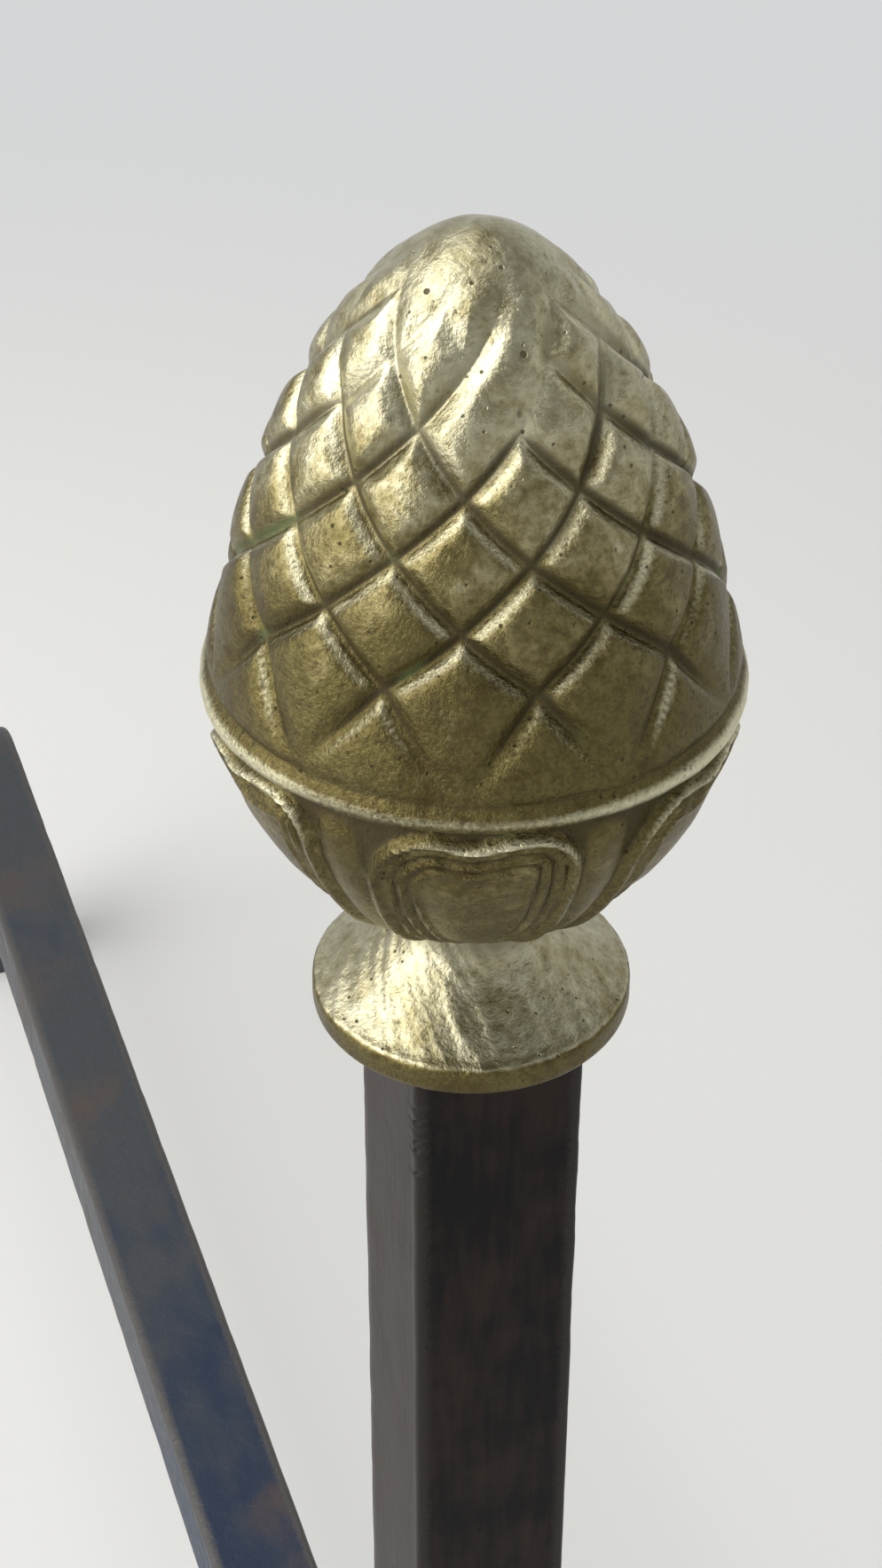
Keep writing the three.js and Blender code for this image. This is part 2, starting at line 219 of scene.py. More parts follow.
def cut_away(piece: bpy.types.Object, cutter: bpy.types.Object) -> None:
    """Cuts the cutter's space out of the piece and removes the cutter.

    Args:
        piece: The piece that gets the hole.
        cutter: A closed shape that fills the hole.
    """
    take_up(piece)
    cut = piece.modifiers.new("punched_hole", "BOOLEAN")
    cut.operation = "DIFFERENCE"
    cut.solver = "EXACT"
    cut.object = cutter
    bpy.ops.object.modifier_apply(modifier=cut.name)
    bpy.data.objects.remove(cutter)


def close_up(piece: bpy.types.Object) -> None:
    """Joins a rolled sheet along its seam, fills its open ends and turns its faces outwards.

    Args:
        piece: The rolled sheet.
    """
    take_up(piece)
    bpy.ops.object.mode_set(mode="EDIT")
    bpy.ops.mesh.select_all(action="SELECT")
    bpy.ops.mesh.remove_doubles(threshold=MERGE_DISTANCE)
    bpy.ops.mesh.select_all(action="DESELECT")
    bpy.ops.mesh.select_mode(type="EDGE")
    bpy.ops.mesh.select_non_manifold(extend=False, use_wire=False, use_boundary=True,
                                     use_multi_face=False, use_non_contiguous=False, use_verts=False)
    bpy.ops.mesh.edge_face_add()
    bpy.ops.mesh.select_all(action="SELECT")
    bpy.ops.mesh.normals_make_consistent(inside=False)
    bpy.ops.object.mode_set(mode="OBJECT")


def stand_on_floor(piece: bpy.types.Object) -> None:
    """Flattens whatever a piece has below the floor.

    Args:
        piece: The piece.
    """
    points = points_of(piece)
    points[:, 2] = np.maximum(points[:, 2], 0.0)
    move_points(piece, points)


def punch_square(piece: bpy.types.Object, side: float, place: Vector, stretch: float = 1.0) -> None:
    """Punches a square hole down through a piece.

    Args:
        piece: The piece.
        side: Side of the hole.
        place: Middle of the hole.
        stretch: Height of the punch, as a multiple of its side.
    """
    bpy.ops.mesh.primitive_cube_add(size=side, location=place)
    punch = bpy.context.object
    punch.scale.z = stretch
    cut_away(piece, punch)


def smooth(piece: bpy.types.Object, angle: float) -> None:
    """Shades the piece smooth, with creases at edges sharper than angle, in degrees."""
    take_up(piece)
    bpy.ops.object.shade_smooth_by_angle(angle=math.radians(angle))


def hand_over(piece: bpy.types.Object, name: str, node: str,
              material: bpy.types.Material) -> None:
    """Names and dresses a finished piece and puts it in the place of its node.

    Args:
        piece: The finished piece.
        name: Its name.
        node: The node of the frame that it stands for.
        material: Its finish.
    """
    piece.name = name
    piece.data.name = name
    piece.data.materials.clear()
    piece.data.materials.append(material)
    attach(piece, "root")
    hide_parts(node)
    log.info("%s: %d faces, in place of %s", name, len(piece.data.polygons), node)


# ---- Finishes --------------------------------------------------------------------------------


class Strand:
    """One output of a node, with arithmetic that adds Math nodes."""

    def __init__(self, sheet: "FinishSheet", socket: bpy.types.NodeSocket) -> None:
        """Wraps a socket of the sheet's material."""
        self.sheet = sheet
        self.socket = socket

    def __add__(self, other: "Strand | float") -> "Strand":
        """Sum."""
        return self.sheet.math("ADD", self, other)

    __radd__ = __add__

    def __sub__(self, other: "Strand | float") -> "Strand":
        """Difference."""
        return self.sheet.math("SUBTRACT", self, other)

    def __rsub__(self, other: float) -> "Strand":
        """Difference from a number."""
        return self.sheet.math("SUBTRACT", other, self)

    def __mul__(self, other: "Strand | float") -> "Strand":
        """Product."""
        return self.sheet.math("MULTIPLY", self, other)

    __rmul__ = __mul__


@dataclass(frozen=True)
class Cloud:
    """A cloudy pattern: the size of its features, its finer layers, and how it is stirred or drawn out."""

    size: float
    detail: float = 3.0
    roughness: float = 0.6
    distortion: float = 0.0
    stretch: Triple | None = None


@dataclass(frozen=True)
class Mask:
    """Where a tone shows: the span over which it eases in, and how strongly each cloud stirs its edge."""

    low: float
    high: float
    stir: tuple[float, ...] = ()


class FinishSheet:
    """A material in the making: its nodes, and the ways to add to them."""

    MIX_FACTOR, MIX_A, MIX_B, MIX_RESULT = 0, 6, 7, 2

    def __init__(self, name: str) -> None:
        """Starts a material with one Principled shader."""
        self.material = bpy.data.materials.new(name)
        self.material.use_nodes = True
        self.tree = self.material.node_tree
        self.shader = self.tree.nodes["Principled BSDF"]
        self.place = self.node("ShaderNodeTexCoord", output="Object")

    def node(self, kind: str, settings: Mapping[str, Any] | None = None,
             sockets: Mapping[str | int, Any] | None = None, output: str | int = 0) -> Strand:
        """Adds a node.

        Args:
            kind: The node's type.
            settings: Its own settings.
            sockets: Values or strands for its inputs, by name or number.
            output: Name or number of the output to hand back.

        Returns:
            The chosen output.
        """
        made = self.tree.nodes.new(kind)
        for name, value in (settings or {}).items():
            setattr(made, name, value)
        for name, value in (sockets or {}).items():
            self.feed(made.inputs[name], value)
        return Strand(self, made.outputs[output])

    def feed(self, socket: bpy.types.NodeSocket, value: "Strand | float | Sequence[float]") -> None:
        """Links a strand to a socket, or sets the socket's value.

        Args:
            socket: The input to feed.
            value: A strand, a number, or a colour of three numbers.
        """
        if isinstance(value, Strand):
            self.tree.links.new(value.socket, socket)
        elif socket.type == "RGBA" and len(value) == 3:
            socket.default_value = (*value, 1.0)
        else:
            socket.default_value = value

    def math(self, operation: str, first: "Strand | float", second: "Strand | float" = 0.0) -> Strand:
        """Adds a Math node on two values."""
        return self.node("ShaderNodeMath", {"operation": operation}, {0: first, 1: second})

    def step(self, value: Strand, low: float, high: float) -> Strand:
        """Eases from 0 to 1 as value goes from low to high; low may be above high."""
        return self.node("ShaderNodeMapRange", {"interpolation_type": "SMOOTHSTEP"},
                         {"Value": value, "From Min": low, "From Max": high})

    def mask(self, value: Strand, mask: Mask, *clouds: Strand) -> Strand:
        """Finds where a tone shows.

        Args:
            value: What the tone follows.
            mask: Its span and the strengths of its clouds.
            clouds: The clouds that stir its edge, in the order of those strengths.

        Returns:
            The tone's share, from 0 to 1.
        """
        for cloud, strength in zip(clouds, mask.stir, strict=True):
            value = value + (cloud - MIDDLE) * strength
        return self.step(value, mask.low, mask.high)

    def add_up(self, level: float, *terms: tuple[Strand, float]) -> Strand:
        """Adds strands to a level.

        Args:
            level: The level.
            terms: Each strand with its strength.

        Returns:
            The sum.
        """
        total: Strand | float = level
        for strand, strength in terms:
            total = strand * strength + total
        return total

    def blend(self, share: "Strand | float", first: "Strand | Colour",
              second: "Strand | Colour") -> Strand:
        """Mixes two colours.

        Args:
            share: 0 for the first colour, 1 for the second.
            first: A colour.
            second: Another colour.

        Returns:
            The mixed colour.
        """
        return self.node("ShaderNodeMix", {"data_type": "RGBA"},
                         {self.MIX_FACTOR: share, self.MIX_A: first, self.MIX_B: second},
                         self.MIX_RESULT)

    def painted(self, name: str) -> Strand:
        """Reads a number that was painted on the piece's vertices."""
        return self.node("ShaderNodeAttribute", {"attribute_name": name}, output="Fac")

    def clouds(self, cloud: Cloud) -> Strand:
        """Adds cloudy noise, on the object's own coordinates or on stretched ones.

        Args:
            cloud: The pattern.

        Returns:
            The noise, from 0 to 1.
        """
        place = self.place
        if cloud.stretch is not None:
            place = self.node("ShaderNodeVectorMath", {"operation": "MULTIPLY"},
                              {0: place, 1: cloud.stretch}, "Vector")
        return self.node("ShaderNodeTexNoise", None, {
            "Vector": place, "Scale": 1.0 / cloud.size, "Detail": cloud.detail,
            "Roughness": cloud.roughness, "Distortion": cloud.distortion}, "Fac")

    def spots(self, spacing: float) -> Strand:
        """Distance to the nearest of scattered points, 0 at each, for pits of that spacing."""
        return self.node("ShaderNodeTexVoronoi", None,
                         {"Vector": self.place, "Scale": 1.0 / spacing}, "Distance")

    def bump(self, height: Strand, depth: float, below: Strand | None = None) -> Strand:
        """Turns a height from 0 to 1 into a normal.

        Args:
            height: The relief.
            depth: Real height of the relief, in metres.
            below: A normal to add to, if any.

        Returns:
            The normal.
        """
        sockets: dict[str | int, Any] = {"Strength": 1.0, "Distance": depth, "Height": height}
        if below is not None:
            sockets["Normal"] = below
        return self.node("ShaderNodeBump", None, sockets, "Normal")

    def finish(self, **sockets: "Strand | float | Colour") -> bpy.types.Material:
        """Feeds the shader's sockets.

        Args:
            sockets: A value or a strand for each, named with underscores for spaces.

        Returns:
            The material.
        """
        for name, value in sockets.items():
            words = " ".join(word if word == "IOR" else word.capitalize() for word in name.split("_"))
            self.feed(self.shader.inputs[words], value)
        return self.material


@dataclass(frozen=True)
class AgedBrass:
    """Sand-cast brass, dulled to olive, paler where handled, with grime and painted shade in its hollows and
    painted highlights on its upper edges.

    What ends in strength is how much of a tone shows, and what ends in loss is how much of it
    handling takes away.
    """

    pale: Colour = (0.54, 0.51, 0.35)
    honey: Colour = (0.31, 0.265, 0.125)
    olive: Colour = (0.150, 0.124, 0.046)
    umber: Colour = (0.085, 0.063, 0.024)
    # worn is the pale of wear and of painted highlights.
    worn: Colour = (0.72, 0.68, 0.46)
    # Dark of grime and of painted shade.
    grime_and_shade_colour: Colour = (0.050, 0.036, 0.010)
    verdigris: Colour = (0.14, 0.18, 0.07)

    patches: Cloud = Cloud(6.0 * MM)
    grain: Cloud = Cloud(0.45 * MM, roughness=0.75)
    lumps: Cloud = Cloud(1.3 * MM, 2.0, 0.55)
    stains: Cloud = Cloud(4.5 * MM, 4.0, 0.65, distortion=0.5)
    greening: Cloud = Cloud(9.0 * MM, 2.0, 0.5, stretch=(1.0, 1.0, 0.6))
    pit_spacing: float = 1.9 * MM
    pit_edge: Span = (0.12, 0.04)
    hole_floor: float = 0.55

    honey_at: Mask = Mask(0.1, 0.75, (1.3, 0.5))
    stain_at: Mask = Mask(0.50, 0.68)
    stain_strength: float = 0.75
    stain_loss: float = 0.12
    pale_at: Mask = Mask(0.45, 1.1, (0.6, 1.1))
    mottle_at: Mask = Mask(0.62, 0.36, (0.5,))
    mottle_strength: float = 0.66
    mottle_loss: float = 0.52
    rubbed_at: Mask = Mask(0.15, 0.85, (0.5,))
    # Where grime and painted shade darken the recesses, and how strongly.
    grime_and_shade_at: Mask = Mask(0.42, 1.05, (0.35, 0.3))
    grime_and_shade_strength: float = 0.85
    specks_at: Mask = Mask(0.36, 0.27, (0.5,))
    speck_strength: float = 0.75
    speck_loss: float = 0.3
    green_at: Mask = Mask(0.55, 0.68)
    green_strength: float = 0.8

    lump_depth: float = 0.18 * MM
    lump_loss: float = 0.3
    grain_depth: float = 0.20 * MM
    grain_loss: float = 0.65
    pit_depth: float = 0.14 * MM
    grime_and_shade_dulls: float = 0.5
    roughness: float = 0.38
    rougher_by_grime_and_shade: float = 0.3
    rougher_by_lumps: float = 0.16
    smoother_by_hand: float = 0.09
    smoother_by_wear_and_highlight: float = 0.04

    def make(self, blow_holes: Sequence[tuple[Vector, float]]) -> bpy.types.Material:
        """Builds the material.

        Args:
            blow_holes: Centre and radius of each larger hole that gas left in the casting.

        Returns:
            The material. It reads the attributes recess, worn and handled: recess holds grime and painted
            shade, and worn holds wear and painted highlights.
        """
        sheet = FinishSheet("aged_cast_brass")
        # recess carries grime and painted shade, worn carries wear and painted highlights.
        recess, worn, handled = (sheet.painted(name) for name in ("recess", "worn", "handled"))
        patches, grain, lumps, stains, greening = (sheet.clouds(cloud) for cloud in (
            self.patches, self.grain, self.lumps, self.stains, self.greening))
        pits = sheet.step(sheet.spots(self.pit_spacing), *self.pit_edge)
        for centre, radius in blow_holes:
            away = sheet.node("ShaderNodeVectorMath", {"operation": "DISTANCE"},
                              {0: sheet.place, 1: centre}, "Value")
            pits = sheet.math("MAXIMUM", pits, sheet.step(away, radius, self.hole_floor * radius))

        metal = sheet.blend(sheet.mask(handled, self.honey_at, patches, lumps), self.olive, self.honey)
        stained = sheet.mask(stains - handled * self.stain_loss, self.stain_at)
        metal = sheet.blend(stained * self.stain_strength, metal, self.umber)
        metal = sheet.blend(sheet.mask(handled, self.pale_at, lumps, patches), metal, self.pale)
        mottled = sheet.mask(grain, self.mottle_at, lumps)
        metal = sheet.blend(mottled * (self.mottle_strength - handled * self.mottle_loss), metal, self.umber)
        # Pale of wear and of painted highlights.
        rubbed = sheet.mask(worn, self.rubbed_at, grain)
        metal = sheet.blend(rubbed, metal, self.worn)
        # Grime and painted shade in the recesses, joined with specks and pits.
        grime_and_shade = sheet.mask(recess, self.grime_and_shade_at, lumps, grain)
        specks = sheet.mask(grain, self.specks_at, lumps) * (self.speck_strength - handled * self.speck_loss)
        grime_and_shade = sheet.math("MAXIMUM", sheet.math("MAXIMUM", grime_and_shade, specks), pits)
        green = sheet.mask(greening, self.green_at) * self.green_strength
        grime_and_shade_tint = sheet.blend(green, self.grime_and_shade_colour, self.verdigris)

        cast = sheet.bump(lumps * (1 - handled * self.lump_loss), self.lump_depth)
        cast = sheet.bump(grain * (1 - handled * self.grain_loss), self.grain_depth, cast)
        cast = sheet.bump(1.0 - pits, self.pit_depth, cast)
        return sheet.finish(
            base_color=sheet.blend(grime_and_shade * self.grime_and_shade_strength, metal, grime_and_shade_tint),
            metallic=1.0 - grime_and_shade * self.grime_and_shade_dulls,
            roughness=sheet.add_up(
                self.roughness, (grime_and_shade, self.rougher_by_grime_and_shade), (lumps - MIDDLE, self.rougher_by_lumps),
                (handled, -self.smoother_by_hand), (rubbed, -self.smoother_by_wear_and_highlight)),
            normal=cast,
        )


@dataclass(frozen=True)
class ForgedIron:
    """Black forge finish on bar, with a long grain, brown bloom and rubbed arrises."""

    black: Colour = (0.0062, 0.0052, 0.0056)
    brown: Colour = (0.025, 0.0155, 0.0125)
    rubbed: Colour = (0.036, 0.031, 0.028)
    sheen: float = 0.10
    streaks: Cloud = Cloud(1.1 * MM)
    patches: Cloud = Cloud(14.0 * MM)
    grain: Cloud = Cloud(0.5 * MM)
    brown_at: Mask = Mask(0.35, 0.7, (0.5,))
    rubbed_at: Mask = Mask(0.35, 1.0, (0.8,))
    bare_metal: float = 0.2
    streak_depth: float = 0.05 * MM
    grain_depth: float = 0.025 * MM
    roughness: float = 0.42
    rougher_by_patches: float = 0.2
    rougher_by_grain: float = 0.12

    def make(self, name: str, along: Triple) -> bpy.types.Material:
        """Builds the material.

        Args:
            name: Name of the material.
            along: Scale of the streaks by axis, small along the bar to draw them out.

        Returns:
            The material. It reads the attribute worn.
        """
        sheet = FinishSheet(name)
        worn = sheet.painted("worn")
        streaks, patches, grain = (sheet.clouds(cloud) for cloud in (
            replace(self.streaks, stretch=along), self.patches, self.grain))
        colour = sheet.blend(sheet.mask(patches, self.brown_at, streaks), self.black, self.brown)
        rubbed = sheet.mask(worn, self.rubbed_at, grain)
        skin = sheet.bump(streaks, self.streak_depth)
        return sheet.finish(
            base_color=sheet.blend(rubbed, colour, self.rubbed),
            specular_IOR_level=self.sheen,
            metallic=rubbed * self.bare_metal,
            roughness=sheet.add_up(self.roughness, (patches - MIDDLE, self.rougher_by_patches),
                                   (grain - MIDDLE, self.rougher_by_grain)),
            normal=sheet.bump(grain, self.grain_depth, skin),
        )


@dataclass(frozen=True)
class ScaledIron:
    """Fire scale on the log bar: blue-grey, with brown patches and flaked edges.

    It turns ashen towards the back of the bar, where the fire is.
    """

    blue: Colour = (0.013, 0.027, 0.060)
    grey: Colour = (0.050, 0.056, 0.064)
    brown: Colour = (0.094, 0.066, 0.052)
    bare: Colour = (0.11, 0.105, 0.10)
    patches: Cloud = Cloud(22.0 * MM, roughness=0.55, stretch=(1.0, 0.5, 1.0))
    rust: Cloud = Cloud(30.0 * MM, roughness=0.55)
    flakes: Cloud = Cloud(3.0 * MM, 4.0, distortion=0.6)
    grain: Cloud = Cloud(0.45 * MM)
    ashen_from: Span = (-0.12, 0.08)
    ashen_strength: float = 0.34
    grey_at: Mask = Mask(0.50, 0.78)
    brown_at: Mask = Mask(0.50, 0.74, (0.1,))
    brown_strength: float = 0.7
    rubbed_at: Mask = Mask(0.4, 1.0, (0.8,))
    flake_at: Mask = Mask(0.42, 0.58)
    flake_depth: float = 0.05 * MM
    grain_depth: float = 0.04 * MM
    metallic: float = 0.3
    bare_metal: float = 0.4
    roughness: float = 0.5
    rougher_by_flakes: float = 0.3
    rougher_by_rust: float = 0.15

    def make(self) -> bpy.types.Material:
        """Builds the material.

        Returns:
            The material. It reads the attribute worn.
        """
        sheet = FinishSheet("fire_scaled_iron")
        worn = sheet.painted("worn")
        patches, rust, flakes, grain = (sheet.clouds(cloud) for cloud in (
            self.patches, self.rust, self.flakes, self.grain))
        back = sheet.node("ShaderNodeSeparateXYZ", None, {"Vector": sheet.place}, "Y")
        ashen = sheet.step(back, *self.ashen_from) * self.ashen_strength + patches
        colour = sheet.blend(sheet.mask(ashen, self.grey_at), self.blue, self.grey)
        rusty = sheet.mask(rust, self.brown_at, flakes)
        colour = sheet.blend(rusty * self.brown_strength, colour, self.brown)
        rubbed = sheet.mask(worn, self.rubbed_at, grain)
        skin = sheet.bump(sheet.mask(flakes, self.flake_at), self.flake_depth)
        return sheet.finish(
            base_color=sheet.blend(rubbed, colour, self.bare),
            metallic=sheet.add_up(self.metallic, (rubbed, self.bare_metal)),
            roughness=sheet.add_up(self.roughness, (flakes - MIDDLE, self.rougher_by_flakes),
                                   (rusty, self.rougher_by_rust)),
            normal=sheet.bump(grain, self.grain_depth, skin),
        )


@dataclass(frozen=True)
class PlainSteel:
    """Turned and sawn steel of the fasteners, dulled by heat."""

    steel: Colour = (0.22, 0.21, 0.20)
    straw: Colour = (0.20, 0.155, 0.10)
    soot: Colour = (0.045, 0.040, 0.036)
    heat: Cloud = Cloud(9.0 * MM)
    turning: Cloud = Cloud(0.35 * MM, 2.0, 0.5, stretch=(0.12, 0.12, 1.0))
    sooting: Cloud = Cloud(5.0 * MM, 4.0, 0.65)
    straw_at: Mask = Mask(0.4, 0.65)
    soot_at: Mask = Mask(0.42, 0.62)
    soot_strength: float = 0.7
    scratch_depth: float = 0.02 * MM
    metallic: float = 0.95
    soot_dulls: float = 0.4
    roughness: float = 0.36
    rougher_by_turning: float = 0.2
    rougher_by_soot: float = 0.25

    def make(self) -> bpy.types.Material:
        """Builds the material.

        Returns:
            The material.
        """
        sheet = FinishSheet("plain_steel")
        heat, turned = sheet.clouds(self.heat), sheet.clouds(self.turning)
        sooty = sheet.mask(sheet.clouds(self.sooting), self.soot_at)
        colour = sheet.blend(sheet.mask(heat, self.straw_at), self.steel, self.straw)
        return sheet.finish(
            base_color=sheet.blend(sooty * self.soot_strength, colour, self.soot),
            metallic=sheet.add_up(self.metallic, (sooty, -self.soot_dulls)),
            roughness=sheet.add_up(self.roughness, (turned - MIDDLE, self.rougher_by_turning),
                                   (sooty, self.rougher_by_soot)),
            normal=sheet.bump(turned, self.scratch_depth),
        )


# ---- The cast finial -------------------------------------------------------------------------


class Diagonal(Enum):
    """Which way a face of four corners is split in two."""

    STRAIGHT = "FIXED"
    CROSSED = "FIXED_ALTERNATE"


class Lean(Enum):
    """Which way a spiral groove leans as it climbs."""

    LEFT = 1.0
    RIGHT = -1.0


WORN_GROOVES = {
    (Lean.LEFT, 3): ((4.8, 1.0), (5.15, 0.15), (5.9, 0.1), (6.2, 0.5)),
    (Lean.LEFT, 4): ((5.9, 1.0), (6.2, 0.35)),
    (Lean.LEFT, 5): ((5.0, 1.0), (5.4, 1.25), (7.0, 1.4)),
    (Lean.RIGHT, -2): ((4.8, 1.0), (5.2, 0.45), (5.8, 0.4), (6.1, 1.2)),
    (Lean.RIGHT, -1): ((4.0, 1.0), (4.3, 1.25), (5.7, 1.25), (6.0, 0.8)),
    (Lean.RIGHT, -4): ((4.4, 1.0), (5.2, 0.7), (6.0, 0.7)),
    (Lean.LEFT, 1): ((5.0, 1.0), (5.5, 0.5)),
    (Lean.LEFT, -2): ((4.6, 1.0), (5.2, 0.3)),
    (Lean.RIGHT, 2): ((5.2, 1.0), (5.8, 0.4)),
}
"""How much of a groove is left at some rows, for the grooves that wear or the mould made uneven."""


@dataclass
class CastFinial:
    """A scaled egg over a rolled bead and six leaves, on a neck and a round flange.

    Heights are above the top of the post. A turn is measured about the finial's axis, in degrees
    from the front towards +X. A row is one crossing of the spiral grooves, counted up from the bead.
    """

    axis: Vector
    post_top: float

    turn: float = -20.0
    hole_radius: float = 4.27 * MM
    hole_depth: float = 21.5 * MM
    hole_margin: Span = (0.3 * MM, 1.0 * MM)
    flange_radius: float = 16.9 * MM
    flange_rim: float = 3.6 * MM
    flange_round: float = 0.9 * MM
    flange_sweep: float = 1.75
    flange_steps: int = 26
    crease_from: float = 0.9
    crease_climb: float = 0.9
    crease_length: float = 0.22
    neck_radius: float = 6.9 * MM
    neck_height: float = 13.7 * MM
    neck_margin: float = 2.0 * MM
    belly_radius: float = 26.5 * MM
    belly_height: float = 39.4 * MM
    bowl_depth: float = 26.7 * MM
    bowl_power: float = 1.7
    tip_height: float = 88.2 * MM
    egg_power: float = 1.55
    egg_taper: float = 0.56

    bead_height: float = 41.7 * MM
    bead_half_width: float = 1.3 * MM
    bead_rise: float = 0.48 * MM
    bead_thin: float = 0.55
    bead_full_turn: float = 8.0
    bead_steps: int = 8
    bead_groove: float = 0.5 * MM
    # A painted shadow line just above the bead.
    bead_line_width: float = 0.55 * MM
    bead_line_shade: float = 0.7

    scale_count: int = 10
    scale_start: float = 43.4 * MM
    scale_margin: float = 1.6 * MM
    scale_turn: float = -2.5
    scale_crown: float = 0.62 * MM
    first_crossing: float = 53.3 * MM
    row_climb: float = 5.96 * MM
    least_radius: float = 1.0 * MM
    groove_depth: float = 1.10 * MM
    groove_floor: float = 0.10 * MM
    bevel_width: float = 1.45 * MM
    tip_bevel_width: float = 2.1 * MM
    shoulder_round: float = 0.3
    tip_softness: float = 0.62
    bead_rows: Span = (-0.2, 0.9)
    wide_rows: Span = (3.0, 6.5)
    soft_rows: Span = (4.2, 6.2)
    smooth_rows_left: Span = (0.9, 2.2)
    flat_rows_left: Span = (1.8, 3.4)
    open_row_left: float = 0.12
    worn_grooves: Mapping[tuple[Lean, int], tuple[Span, ...]] = field(default_factory=lambda: WORN_GROOVES)
    # Painted shade on the groove walls, heavier on the downward ones than on the upward ones.
    upper_wall_shade: Span = (0.55, 1.15)
    lower_wall_shade: Span = (0.0, 0.8)
    # Span of the painted highlight band on the upward groove walls.
    highlight_in: Span = (-0.15, 0.45)
    highlight_out: Span = (0.45, 0.9)

    blow_holes: tuple[Triple, ...] = (
        (16.0, 5.28, 0.60 * MM), (21.2, 6.14, 0.45 * MM), (-34.3, 7.03, 0.34 * MM),
        (-38.2, 1.80, 0.36 * MM), (22.4, 7.50, 0.28 * MM), (61.0, 2.4, 0.40 * MM),
        (150.0, 3.3, 0.50 * MM), (-120.0, 4.6, 0.40 * MM))

    leaf_count: int = 6
    leaf_half_angle: float = 24.5
    leaf_top: float = 39.9 * MM
    leaf_notch: float = 0.8 * MM
    leaf_notch_spread: float = 0.45
    leaf_corners: Span = (8.5 * MM, 5.0 * MM)
    leaf_border: float = 1.7 * MM
    leaf_border_power: float = 0.9
    leaf_rise: float = 1.3 * MM
    leaf_field: float = 0.35 * MM
    leaf_swell: float = 0.25 * MM
    leaf_swell_span: Span = (-0.6, 1.5)
    leaf_fade: float = 6.0 * MM
    leaf_shade: Span = (0.45, 1.1)
    ridges: float = 3.0
    ridge_start: Span = (-0.1, 0.3)
    ridge_pitch: float = 1.45 * MM
    ridge_height: float = 0.30 * MM
    gap_swell: float = 0.75 * MM
    gap_top: Span = (-0.5 * MM, 3.0 * MM)

    bead_waver: Waver = Waver(12.0 * MM, 0.2, 41.0)
    groove_waver: Waver = Waver(12.0 * MM, 0.35, 3.0)
    skin_wavers: tuple[Waver, ...] = (Waver(2.2 * MM, 0.07 * MM, 7.0), Waver(7.0 * MM, 0.10 * MM, 11.0))
    creases: Waver = Waver(1.3 * MM, 0.26 * MM, 51.0)
    swing: Waver = Waver(16.0 * MM, math.radians(1.1), 21.0)
    sway: Waver = Waver(14.0 * MM, 0.4 * MM, 31.0)
    sway_top: float = 8.0 * MM
    sway_bottom: float = 24.0 * MM
    wear_and_highlight_waver: Waver = Waver(9.0 * MM, 0.5, 61.0)
    steepest: float = -4.0
    slope_span: float = 0.05 * MM
    pole_radius: float = 2.0 * MM

    # Painted shade round the low neck, under the bowl.
    neck_shade: float = 0.75
    neck_shade_span: Span = (1.5 * MM, 6.0 * MM)
    neck_shade_reach: float = 3.0 * MM
    handled_egg: float = 0.9
    handled_span: Span = (44.0 * MM, 84.0 * MM)
    handled_bowl: float = 0.15
    handled_flange: float = 0.85
    handled_rim_margin: float = 0.4 * MM
    # The pale paint of wear and painted highlights: upward groove walls, leaf borders, more towards the leaf
    # tops, and the bead.
    wear_and_highlight_level: float = 0.75
    scale_highlight: float = 0.75
    leaf_wear_and_highlight: Span = (0.35, 0.55)
    leaf_top_highlight: Span = (6.0 * MM, 1.0 * MM)
    bead_wear_and_highlight: float = 0.80

    columns_per_scale: int = 36
    round_points: int = 5
    step: float = 0.5 * MM
    rise_marks: int = 6000
    sharp_edge: float = 55.0
    marks: tuple[np.ndarray, np.ndarray] = field(init=False)

    def __post_init__(self) -> None:
        """Measures the egg's outline, as lengths climbed and the heights reached."""
        climb = 1 - (1 - np.linspace(0, 1, self.rise_marks)) ** 2
        heights = mix(self.scale_start, self.tip_height, climb)
        steps = np.hypot(np.diff(heights), np.diff(self.body_radius(heights)))
        self.marks = (np.concatenate([[0.0], np.cumsum(steps)]), heights)

    @property
    def bead_bottom(self) -> float:
        """Height at which the bead leaves the bowl."""
        return self.bead_height - self.bead_half_width

    @property
    def first_row(self) -> float:
        """Length climbed from the bead to the first crossing of the grooves."""
        return float(np.interp(self.first_crossing, self.marks[1], self.marks[0]))

    @property
    def rows_to_tip(self) -> float:
        """Rows of crossings from the bead to the tip."""
        return 1 + (self.marks[0][-1] - self.first_row) / self.row_climb

    def body_radius(self, height: np.ndarray | float) -> np.ndarray:
        """Measures the egg and its bowl before the relief.

        Args:
            height: Height of each point.

        Returns:
            The outer radius there.
        """
        height = np.asarray(height, float)
        rise = np.clip((height - self.belly_height) / (self.tip_height - self.belly_height), 0, 1)
        drop = np.clip((self.belly_height - height) / self.bowl_depth, 0, 1)
        egg = self.belly_radius * (1 - rise ** self.egg_power) ** self.egg_taper
        bowl = self.belly_radius * np.sqrt(1 - drop ** self.bowl_power)
        return np.where(height >= self.belly_height, egg, bowl)

    def height_at_row(self, row: np.ndarray) -> np.ndarray:
        """Height on the egg after climbing a number of rows."""
        climbed = np.where(row < 1, row * self.first_row, self.first_row + (row - 1) * self.row_climb)
        return np.interp(climbed, *self.marks)

    def row_at_height(self, height: np.ndarray) -> np.ndarray:
        """Counts the rows climbed on the egg.

        Args:
            height: Height of each point.

        Returns:
            The rows, with their fractions.
        """
        climbed = np.interp(height, self.marks[1], self.marks[0])
        return np.where(climbed < self.first_row, climbed / self.first_row,
                        1 + (climbed - self.first_row) / self.row_climb)

